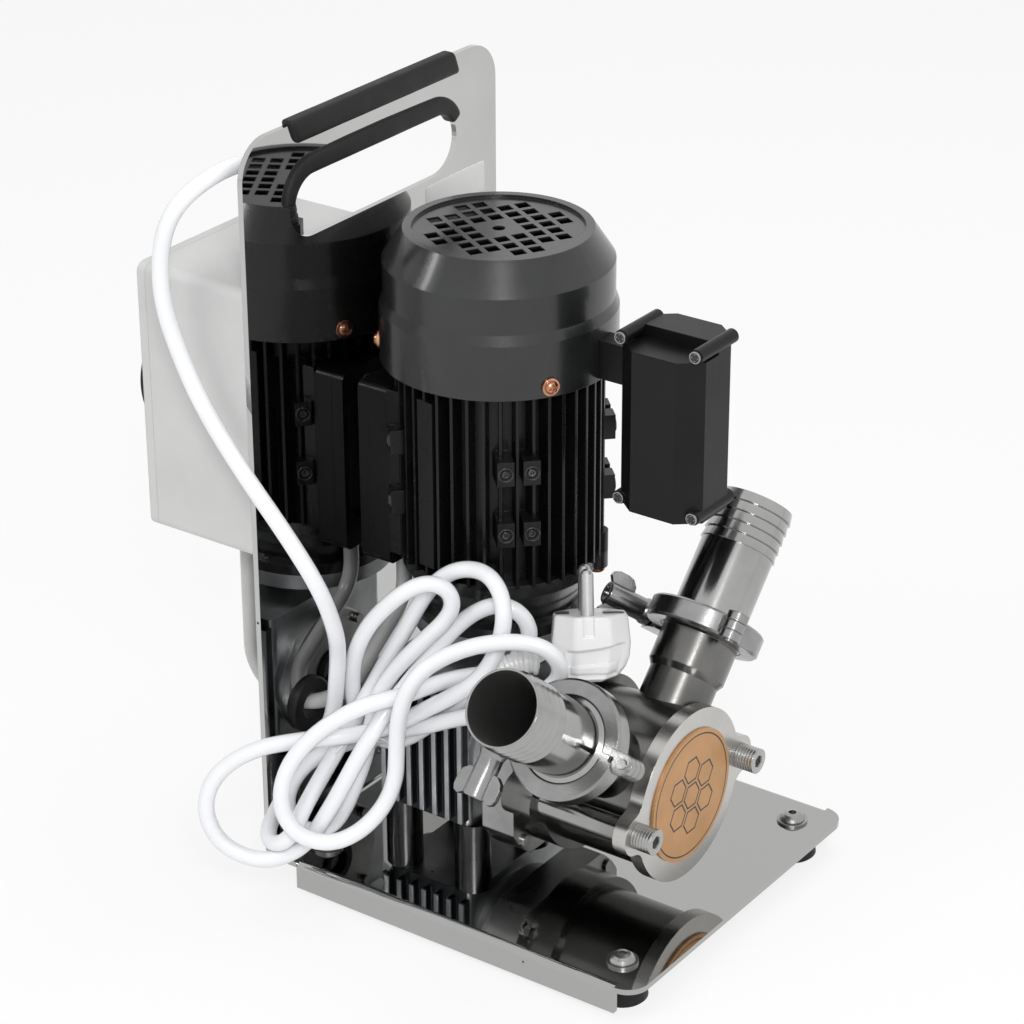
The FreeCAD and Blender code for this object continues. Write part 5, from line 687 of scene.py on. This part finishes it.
# The lead's control points, from the gland on the control box through the hank to the plug.
CORD_ROUTE = [
    (-0.137, -0.04, 0.328), (-0.137, -0.04, 0.345), (-0.136, -0.0475, 0.364), (-0.133, -0.062, 0.3785),
    (-0.128, -0.079, 0.384), (-0.1305, -0.097, 0.3835), (-0.138, -0.113, 0.3745), (-0.1445, -0.1195, 0.361),
    (-0.149, -0.12, 0.341), (-0.149, -0.119, 0.319), (-0.1421, -0.1173, 0.296), (-0.1294, -0.1162, 0.27),
    (-0.1062, -0.1169, 0.243), (-0.0789, -0.1174, 0.216), (-0.0633, -0.1124, 0.189), (-0.0634, -0.1022, 0.163),
    (-0.0706, -0.0919, 0.144), (-0.0749, -0.0885, 0.1253), (-0.0799, -0.0845, 0.1086), (-0.0862, -0.0808, 0.0935),
    (-0.0939, -0.0828, 0.0803), (-0.099, -0.0889, 0.0687), (-0.102, -0.0968, 0.058), (-0.1027, -0.1062, 0.0494),
    (-0.1002, -0.1162, 0.0445), (-0.0926, -0.1235, 0.0434), (-0.0834, -0.1256, 0.0467), (-0.0774, -0.1231, 0.054),
    (-0.0764, -0.1176, 0.0631), (-0.0746, -0.1103, 0.0726), (-0.0724, -0.1021, 0.0825), (-0.0688, -0.0936, 0.0954),
    (-0.0655, -0.0842, 0.1083), (-0.0624, -0.0755, 0.1212), (-0.0578, -0.0685, 0.135), (-0.0526, -0.0613, 0.1488),
    (-0.0479, -0.0561, 0.162), (-0.0418, -0.0523, 0.1735), (-0.033, -0.0486, 0.1821), (-0.0229, -0.0457, 0.1855),
    (-0.0118, -0.0466, 0.1858), (-0.0031, -0.0493, 0.1809), (0.0017, -0.0525, 0.1725), (0.0026, -0.0549, 0.1628),
    (0.0011, -0.0576, 0.1529), (-0.0023, -0.0617, 0.1426), (-0.0084, -0.0675, 0.1341), (-0.0172, -0.0726, 0.1271),
    (-0.0272, -0.078, 0.1202), (-0.0375, -0.0828, 0.1125), (-0.0486, -0.089, 0.1063), (-0.0607, -0.0977, 0.1031),
    (-0.0725, -0.1071, 0.1022), (-0.085, -0.1156, 0.1001), (-0.0976, -0.1224, 0.0959), (-0.1086, -0.1293, 0.0888),
    (-0.1171, -0.1351, 0.0789), (-0.1211, -0.1385, 0.0664), (-0.1201, -0.1387, 0.0534), (-0.1143, -0.1365, 0.0421),
    (-0.1042, -0.1321, 0.0355), (-0.0926, -0.1265, 0.0339), (-0.0817, -0.1199, 0.0387), (-0.0725, -0.1157, 0.0484),
    (-0.0652, -0.1129, 0.0627), (-0.058, -0.1098, 0.0778), (-0.0518, -0.1058, 0.0929), (-0.0466, -0.1002, 0.1068),
    (-0.0439, -0.0901, 0.1177), (-0.0422, -0.0772, 0.1258), (-0.0387, -0.0666, 0.1353), (-0.0339, -0.058, 0.1449),
    (-0.0285, -0.0511, 0.1538), (-0.0214, -0.046, 0.1616), (-0.0126, -0.0419, 0.1668), (-0.0045, -0.0381, 0.1665),
    (0.0017, -0.0353, 0.1612), (0.0037, -0.0333, 0.1527), (0.0013, -0.033, 0.1434), (-0.0032, -0.0361, 0.1349),
    (-0.0094, -0.043, 0.1304), (-0.0178, -0.0513, 0.13), (-0.0248, -0.0612, 0.13), (-0.0308, -0.0732, 0.129),
    (-0.0365, -0.0859, 0.1278), (-0.0452, -0.0971, 0.127), (-0.0554, -0.1059, 0.1213), (-0.0652, -0.1129, 0.1129),
    (-0.0731, -0.1194, 0.103), (-0.0784, -0.1247, 0.0921), (-0.0803, -0.1284, 0.0803), (-0.0783, -0.1299, 0.0686),
    (-0.0724, -0.1282, 0.0589), (-0.064, -0.1229, 0.0533), (-0.0554, -0.1159, 0.0528), (-0.0477, -0.1088, 0.0575),
    (-0.0412, -0.1025, 0.0658), (-0.0366, -0.0976, 0.0762), (-0.0341, -0.0949, 0.088), (-0.0343, -0.0938, 0.1),
    (-0.0336, -0.0937, 0.1124), (-0.0318, -0.0936, 0.1244), (-0.0292, -0.0907, 0.1362), (-0.0244, -0.0841, 0.1459),
    (-0.0168, -0.076, 0.152), (-0.0072, -0.0689, 0.1569), (0.0044, -0.0642, 0.1609), (0.016, -0.0592, 0.1626),
    (0.0266, -0.0545, 0.161), (0.0327, -0.0506, 0.1536), (0.0319, -0.0479, 0.1437), (0.0254, -0.0491, 0.1347),
    (0.0166, -0.055, 0.1287), (0.007, -0.0626, 0.1239), (-0.0035, -0.0687, 0.1199), (-0.0157, -0.0728, 0.1157),
    (-0.0279, -0.0761, 0.1097), (-0.0405, -0.0778, 0.1046), (-0.0546, -0.0767, 0.0956), (-0.0675, -0.0822, 0.0916),
    (-0.078, -0.0915, 0.0872), (-0.0866, -0.1003, 0.0801), (-0.0918, -0.1069, 0.0698), (-0.0922, -0.1106, 0.0584),
    (-0.0865, -0.1106, 0.0494), (-0.0768, -0.1074, 0.0466), (-0.0678, -0.1029, 0.052), (-0.0627, -0.0985, 0.0632),
    (-0.0596, -0.094, 0.076), (-0.0573, -0.089, 0.0897), (-0.0569, -0.0843, 0.1035), (-0.0551, -0.0815, 0.1201),
    (-0.0498, -0.0755, 0.1323), (-0.0432, -0.0694, 0.1425), (-0.0363, -0.0636, 0.1514), (-0.0302, -0.0587, 0.1592),
    (-0.0264, -0.0564, 0.1673), (-0.027, -0.0572, 0.1753), (-0.0315, -0.0608, 0.1805), (-0.0381, -0.0658, 0.181),
    (-0.0459, -0.071, 0.176), (-0.0537, -0.0759, 0.1674), (-0.061, -0.0801, 0.1568), (-0.0664, -0.0824, 0.1441),
    (-0.0702, -0.0816, 0.1306), (-0.0723, -0.0794, 0.117), (-0.0747, -0.0746, 0.1025), (-0.069, -0.0724, 0.0915),
    (-0.0569, -0.0713, 0.0882), (-0.0446, -0.0706, 0.0945), (-0.0343, -0.0689, 0.1036), (-0.0248, -0.0663, 0.1128),
    (-0.0143, -0.0639, 0.122), (-0.0125, -0.06, 0.1325), (-0.005, -0.052, 0.1365), (0.003, -0.042, 0.1403),
    (0.011, -0.0358, 0.1403),
]


def route_curve(name, points, diameter, finish):
    """A smooth NURBS line of order 3 that has the points as its control points, with a round bevel."""
    curve = bpy.data.curves.new(name, "CURVE")
    curve.dimensions = "3D"
    spline = curve.splines.new("NURBS")
    spline.points.add(len(points) - 1)
    for point, place in zip(spline.points, points):
        point.co = (*place, 1)
    spline.order_u = 3
    spline.use_endpoint_u = True
    spline.resolution_u = 8
    curve.bevel_depth = diameter / 2
    curve.bevel_resolution = 5
    curve.use_fill_caps = True
    curve.materials.append(finish)
    line = bpy.data.objects.new(name, curve)
    scene.collection.objects.link(line)
    return line


def centre_line(route):
    """The points of a route's NURBS spline, read from the curve while it has no bevel."""
    curve = route.data
    depth, caps = curve.bevel_depth, curve.use_fill_caps
    curve.bevel_depth, curve.use_fill_caps = 0.0, False
    mesh = bpy.data.meshes.new_from_object(route)
    points = np.zeros(len(mesh.vertices) * 3)
    mesh.vertices.foreach_get("co", points)
    bpy.data.meshes.remove(mesh)
    curve.bevel_depth, curve.use_fill_caps = depth, caps
    return points.reshape(-1, 3)


def stretch_of(line, start, end, count):
    """Evenly spaced points of a line between two lengths along it."""
    wanted, run = np.linspace(start, end, count), run_along(line)
    return np.stack([np.interp(wanted, run, line[:, axis]) for axis in range(3)], axis=1)


mains = route_curve("mains_lead", CORD_ROUTE, CORD_DIAMETER, FINISHES["white_sheath"])
mains_line = centre_line(mains)
mains_length = float(np.linalg.norm(np.diff(mains_line, axis=0), axis=1).sum())


def box_sleeve():
    """Rubber strain relief on the control box: a tube along the lead whose radius falls evenly, with seven grooves."""
    start_radius, fall, groove_depth, grooves, count = 0.0068, 0.0019, 0.0005, 7, 120
    share = np.linspace(0, 1, count)
    radii = start_radius - fall * share - groove_depth * (np.sin(2 * np.pi * grooves * share) > 0.35)
    path = stretch_of(mains_line, 0.010, 0.046, count)
    piece = skin("box_sleeve", [tube_sheet(path, radii, 28)], FINISHES["rubber"], "frame")


def plug_sleeve():
    """White strain relief on the plug: a tube along the lead's end whose radius grows towards the plug, with six
    raised rings."""
    start_radius, growth, ring_height, count = 0.0046, 0.0016, 0.0009, 140
    share = np.linspace(0, 1, count)
    rings = np.clip(np.sin(2 * np.pi * 5.5 * share + 0.6) * 3, -1, 1) * 0.5 + 0.5
    radii = start_radius + growth * share + ring_height * rings
    path = stretch_of(mains_line, mains_length - 0.027, mains_length - 0.0005, count)
    piece = skin("plug_sleeve", [tube_sheet(path, radii, 28)], FINISHES["white_moulding"], "frame")
    return piece


# Plug

PLUG_HEIGHT = 0.032
PLUG_BASE = np.array((0.0324, -0.0218, 0.1315))
PLUG_TURN = np.array(((0.78801, -0.57853, -0.21057), (0.61566, 0.74049, 0.26952), (0.0, -0.34202, 0.93969)))


def plug_points(local):
    """Moves points from the plug's own drawing to its place."""
    return PLUG_BASE + local @ PLUG_TURN.T


def ramp(value, low, high, soft):
    """One between two limits and nothing outside, with soft edges."""
    return np.clip((value - low) / soft + 0.5, 0, 1) * np.clip((high - value) / soft + 0.5, 0, 1)


def plug_shell():
    """The plug's body: an octagon with rounded corners, carried up by levels. Its two ends narrow towards the foot.
    A guide groove is pressed into both broad faces, and a finger recess with a raised pad in it into the front one."""
    around, levels = 360, 150
    angle = full_turn(around)
    half_x, half_y, corner = 0.0195, 0.018, 0.0105
    groove_depth, recess_depth, pad_height = 0.0012, 0.0019, 0.0013
    ray_x, ray_y = np.cos(angle), np.sin(angle)
    slant = (half_x + half_y - corner) / np.maximum(np.abs(ray_x) + np.abs(ray_y), 1e-9)
    ends, faces = half_x / np.maximum(np.abs(ray_x), 1e-9), half_y / np.maximum(np.abs(ray_y), 1e-9)
    reach = np.minimum(np.minimum(ends, faces), slant)
    window = np.hanning(19) / np.hanning(19).sum()
    soft = np.convolve(np.tile(reach, 3), window, "same")[around:2 * around]
    reach = np.minimum(soft, reach)
    height = PLUG_HEIGHT * (0.5 - 0.5 * np.cos(np.linspace(0, np.pi, levels)))
    right = np.interp(height, (0, 0.002, 0.006, 0.011, 0.018, 0.031, 0.032),
                      (0.0085, 0.0132, 0.0166, 0.0187, 0.0194, 0.0181, 0.0172))
    left = np.interp(height, (0, 0.001, 0.003, 0.018, 0.031, 0.032), (0.0135, 0.0165, 0.019, 0.0194, 0.0181, 0.0172))
    deep = np.interp(height, (0, 0.0012, 0.003, 0.0312, 0.032), (0.0155, 0.0172, 0.0179, 0.0179, 0.0171))
    x = reach * ray_x
    x = np.where(x[None, :] > 0, x[None, :] * right[:, None], x[None, :] * left[:, None]) / half_x
    y = reach[None, :] * ray_y[None, :] * deep[:, None] / half_y
    z = np.repeat(height[:, None], around, axis=1)
    broad = np.abs(ray_y)[None, :] * reach[None, :] > half_y - 0.0022
    front = (ray_y < 0)[None, :] & (ray_x * reach < 0.0168)[None, :]
    groove = ramp(x, -0.0047, 0.0007, 0.0003) * ramp(z, 0.0222, 0.04, 0.0003) * groove_depth * broad
    brow = 0.0150 + 0.0030 * np.clip((x + 0.0125) / 0.025, 0, 1) ** 2
    recess = ramp(x, -0.0125, 0.0172, 0.0014) * ramp(z, 0.0024, brow, 0.0014) * recess_depth * front
    lip = 0.0074 + 0.0016 * np.clip((x + 0.0115) / 0.024, 0, 1)
    pad = ramp(x, -0.0118, 0.0135, 0.0022) * ramp(z, 0.0040, lip, 0.0009) * pad_height * front
    depth = groove + recess - pad
    span = np.maximum(np.hypot(x, y), 1e-6)
    grid = np.stack([x * (1 - depth / span), y * (1 - depth / span), z], axis=-1)
    steps = np.array((0.0, 0.45, 0.8))[:, None, None]
    foot = grid[:1] * np.array((1, 1, 0)) * steps
    head = grid[-1:] * np.array((1, 1, 0)) * steps[::-1] + np.array((0, 0, PLUG_HEIGHT))
    grid = np.concatenate([foot, grid, head])
    piece = skin("plug_shell", [(plug_points(grid), False, True)], FINISHES["white_moulding"], "frame")
    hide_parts("mains_plug")
    return piece


def plug_contacts():
    """The plug's two earth strips: thin plates on its top, slightly arched from end to end."""
    sheets = []
    for low, high in ((-0.0172, -0.0105), (0.0062, 0.0166)):
        share, across = np.meshgrid(np.linspace(0, 1, 12), np.linspace(-1, 1, 10), indexing="ij")
        x = low + (high - low) * share
        y = 0.0032 * across
        for lift in (0.0322, 0.0326):
            z = lift + 0.0003 * np.sin(np.pi * share)
            sheets.append((plug_points(np.stack([x, y, z], axis=-1)), False, False))
    piece = skin("plug_contacts", sheets, FINISHES["nickel"], "frame")
    return piece


# Fasteners, edgings, label and tie

NO_RECESS = (0.0, 0.001, 0.0)


def outward(degrees):
    """The level direction at an angle round the motor's axis, and the one square to it."""
    cosine, sine = math.cos(math.radians(degrees)), math.sin(math.radians(degrees))
    return np.array((cosine, sine, 0.0)), np.array((-sine, cosine, 0.0))


def cowl_screws():
    """Three copper pan-head screws on washers round the cowl, and the three tie screws under the body."""
    washer = [(0.0, 0.0011), (0.0047, 0.0011), (0.0047, 0.0007), (0.0047, 0.0)]
    head = [(0.0, 0.0034), (0.0012, 0.0034), (0.0022, 0.0031), (0.0029, 0.0026), (0.0033, 0.0018), (0.0034, 0.0011)]
    tie = [(0.0, 0.0034), (0.0016, 0.0034), (0.0034, 0.0029), (0.004, 0.0022), (0.004, 0.0)]
    sheets = []
    for degrees in (-30, -150, 90):
        out = outward(degrees)[0]
        spot = np.array((MOTOR_X, MOTOR_Y, COWL_SCREW_HEIGHT)) + COWL_RADIUS * out
        sheets.append(recessed_head(spot, out, washer, NO_RECESS))
        sheets.append(recessed_head(spot, out, head, (0.0021, 0.0010, 0.0013), 0.4))
    for degrees in (27, 117, 297):
        spot = np.array((MOTOR_X, MOTOR_Y, TIE_BOLT_HEIGHT)) + TIE_BOLT_RADIUS * outward(degrees)[0]
        sheets.append(recessed_head(spot, (0, 0, -1), tie, (0.0022, 0.0011, 0.0014), 0.2))
    piece = skin("cowl_screws", sheets, FINISHES["copper"], "frame")
    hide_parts("motor_screws")


def lid_screws():
    """Two silver screws on the terminal lid and four black ones on the capacitor box, over the plain heads."""
    silver = [(0.0, 0.0024), (0.0016, 0.0024), (0.0032, 0.0021), (0.0042, 0.0014), (0.0046, 0.0006), (0.0046, 0.0)]
    dark = [(0.0, 0.0019), (0.0012, 0.0019), (0.0024, 0.0016), (0.0030, 0.0010), (0.0031, 0.0)]
    low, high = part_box("terminal_lid")
    face, middle = low[0], (low[1] + high[1]) / 2
    sheets = [recessed_head((face, middle, height), (-1, 0, 0), silver, (0.0030, 0.0012, 0.0014), 0.5)
              for height in (low[2] + 0.008, high[2] - 0.010)]
    piece = skin("lid_screws", sheets, FINISHES["zinc"], "frame")
    sheets = [recessed_head((x, -0.0003, height), (0, -1, 0), dark, (0.0020, 0.0009, 0.0003), 0.3)
              for x in (0.0335, 0.0755) for height in (0.222, 0.306)]
    capacitor = skin("capacitor_screws", sheets, FINISHES["black_cowl"], "frame")


def lug_bosses():
    """Round painted bosses on the sixteen lugs, four pairs round the body in two rows: each is a turned ring with a
    sunk floor, and a dark screw stands in it."""
    ring = [(0.0, -0.0007), (0.0027, -0.0007), (0.0030, 0.0003), (0.0034, 0.0007), (0.0038, 0.0006), (0.0041, 0.0),
            (0.0041, -0.0008)]
    screw = [(0.0, -0.0009), (0.0008, -0.0009), (0.0010, -0.0001), (0.0018, 0.0), (0.0021, -0.0003), (0.0021, -0.0012)]
    bosses, screws = [], []
    for height in LUG_HEIGHTS:
        for degrees in (45, 135, 225, 315):
            out, side = outward(degrees)
            for shift in (-LUG_OFFSET, LUG_OFFSET):
                spot = np.array((MOTOR_X, MOTOR_Y, height)) + LUG_RADIUS * out + shift * side
                bosses.append(recessed_head(spot, out, ring, NO_RECESS))
                screws.append(recessed_head(spot, out, screw, NO_RECESS))
    skin("lug_bosses", bosses, FINISHES["black_cowl"], "frame")
    skin("lug_screws", screws, FINISHES["dark_steel"], "frame")


def edging_sheet(spots, ways, inner, outer, lean=0.0):
    """A rubber edging over a sheet's edge: across each spot of the line stands a rounded oblong, from a depth inside
    the edge to a height beyond it. Its two ends are drawn in, its width waves a little, and it leans along the line
    with its depth."""
    half_thick, roundness = 0.0039, 0.45
    turn = full_turn(56)
    thick = half_thick * np.sign(np.cos(turn)) * np.abs(np.cos(turn)) ** roundness
    deep = np.sign(np.sin(turn)) * np.abs(np.sin(turn)) ** roundness
    run = run_along(spots)
    near_end = np.clip(np.minimum(run, run[-1] - run) / 0.0022, 0, 1)
    drawn = 0.70 + 0.30 * np.sqrt(1 - (1 - near_end) ** 2)
    soft = drawn * (1 + 0.03 * np.sin(run / 0.0075) * np.sin(run / 0.019))
    outer = outer[:, None]
    height = (outer - inner) / 2 + deep[None, :] * (outer + inner) / 2 * drawn[:, None]
    along = unit_rows(np.gradient(spots, axis=0))
    grid = (spots[:, None, :] + ways[:, None, :] * height[..., None]
            + np.array((1.0, 0, 0)) * (thick[None, :] * soft[:, None])[..., None]
            + along[:, None, :] * (lean * (outer - height))[..., None])
    first, last = grid[:1].mean(axis=1, keepdims=True), grid[-1:].mean(axis=1, keepdims=True)
    shrink = np.array((0.0, 0.5, 0.85))[:, None, None]
    grid = np.concatenate([first + shrink * (grid[:1] - first), grid, last + shrink[::-1] * (grid[-1:] - last)])
    return (grid, False, True)


def edge_rubbers():
    """The rubber grip along the plate's top edge and the arched one round the upper half of the hand slot."""
    count, grip_start, grip_end, grip_depth, grip_rise, grip_lean = 180, -0.0662, 0.0640, 0.0101, 0.0024, 0.38
    y = np.linspace(grip_start, grip_end, count)
    line = np.stack([np.full(count, PLATE_MIDDLE_X), y, np.full(count, PLATE_TOP)], axis=-1)
    up = np.tile((0.0, 0.0, 1.0), (count, 1))
    grip = edging_sheet(line, up, grip_depth, np.full(count, grip_rise), grip_lean)
    left, right = np.radians(np.linspace(172, 90, 70)), np.radians(np.linspace(90, 30, 60))
    flat = np.linspace(-SLOT_HALF, SLOT_HALF, 120)[1:-1]
    turn = np.concatenate([left, np.full(len(flat), np.pi / 2), right])
    base = np.concatenate([np.full(len(left), -SLOT_HALF), flat, np.full(len(right), SLOT_HALF)])
    count = len(turn)
    out = np.stack([np.zeros(count), np.cos(turn), np.sin(turn)], axis=-1)
    line = np.stack([np.full(count, PLATE_MIDDLE_X), base, np.full(count, SLOT_Z)], axis=-1) + SLOT_RADIUS * out
    arch = 0.0046 + 0.0036 * np.sin(np.pi * np.linspace(0, 1, count)) ** 0.7
    sheets = [grip, edging_sheet(line, out, 0.0024, arch)]
    piece = skin("edge_rubbers", sheets, FINISHES["rubber"], "frame")
    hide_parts("edge_trims")


def rating_label():
    """A bare satin film on the plate, with rounded corners: a rounded rectangle of points scaled from its middle."""
    y_span, z_span, corner = (0.0405, 0.0905), (0.3215, 0.3385), 0.0015
    angle = full_turn(96)
    half_y, half_z = (y_span[1] - y_span[0]) / 2, (z_span[1] - z_span[0]) / 2
    y = np.clip(np.cos(angle) * 2 * half_y, corner - half_y, half_y - corner) + corner * np.cos(angle)
    z = np.clip(np.sin(angle) * 2 * half_y, corner - half_z, half_z - corner) + corner * np.sin(angle)
    rings = np.array((0.0, 0.3, 0.6, 0.85, 0.99, 1.0, 1.0))[:, None]
    x = PLATE_FACE_X + np.array([0.00025] * 5 + [0.0002, 0.0])[:, None] + 0 * y
    grid = np.stack([x, sum(y_span) / 2 + rings * y, sum(z_span) / 2 + rings * z], axis=-1)
    piece = skin("rating_label", [(grid, False, True)], FINISHES["label_film"], "frame")


def hank_tie():
    """A thin white tie wound three times round the hank's waist: each turn is the outline that a string pulled round
    the lead's last strands takes, worked out from how far they reach in each direction, and two ends stand off at the
    knot, on the camera's side."""
    waist, near, band = np.array((-0.0585, -0.0855, 0.0995)), 0.019, 0.006
    first_point, count = 1000, 160
    camera_right, into_view = np.array((0.8155, 0.5787, 0.0)), np.array((-0.52, 0.73, -0.44))
    points, ahead = mains_line[first_point:], np.gradient(mains_line, axis=0)[first_point:]
    close = np.linalg.norm(points - waist, axis=1) < near
    ahead = unit_rows(ahead[close])
    along, across, up = axes_about(np.linalg.eigh(ahead.T @ ahead)[1][:, -1])
    flat = points[close] - waist
    flat = flat[np.abs(flat @ along) < band]
    angle = full_turn(count)
    facing = np.cos(angle)[:, None] * across + np.sin(angle)[:, None] * up
    reach = (flat @ facing.T).max(axis=0) + CORD_DIAMETER / 2 + TIE_DIAMETER / 2
    reach = np.convolve(np.tile(reach, 3), np.ones(9) / 9, "same")[count:2 * count]
    slope = (np.roll(reach, -1) - np.roll(reach, 1)) / (2 * (angle[1] - angle[0]))
    side = -np.sin(angle)[:, None] * across + np.cos(angle)[:, None] * up
    loop = waist + reach[:, None] * facing + slope[:, None] * side
    sheets = []
    for shift, tilt in ((-0.0016, 0.0009), (0.0, -0.0012), (0.0017, 0.0016)):
        turn = loop + (shift + tilt * np.sin(angle + 5 * shift / 0.001))[:, None] * along
        sheets.append(tube_sheet(turn, np.full(count, TIE_DIAMETER / 2), 8, True))
    knot = loop[int(np.argmin(loop @ into_view))]
    share = np.linspace(0, 1, 40)[:, None]
    for sway, drop in ((0.016, -0.004), (-0.014, -0.007)):
        tail = knot + share * (sway * camera_right) + share ** 2 * np.array((0.0, -0.003, drop))
        tail = tail + np.sin(np.pi * share) * np.array((0.0, -0.002, 0.002))
        sheets.append(tube_sheet(tail, np.full(40, TIE_DIAMETER / 2), 8))
    piece = skin("hank_tie", sheets, FINISHES["white_sheath"], "frame")


box_sleeve()
plug_relief = plug_sleeve()
plug = plug_shell()
contacts = plug_contacts()
cowl_screws()
lid_screws()
lug_bosses()
edge_rubbers()
rating_label()
hank_tie()

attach(mains, "frame")
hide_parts("mains_cord", "cord_hank", "plug_lead")
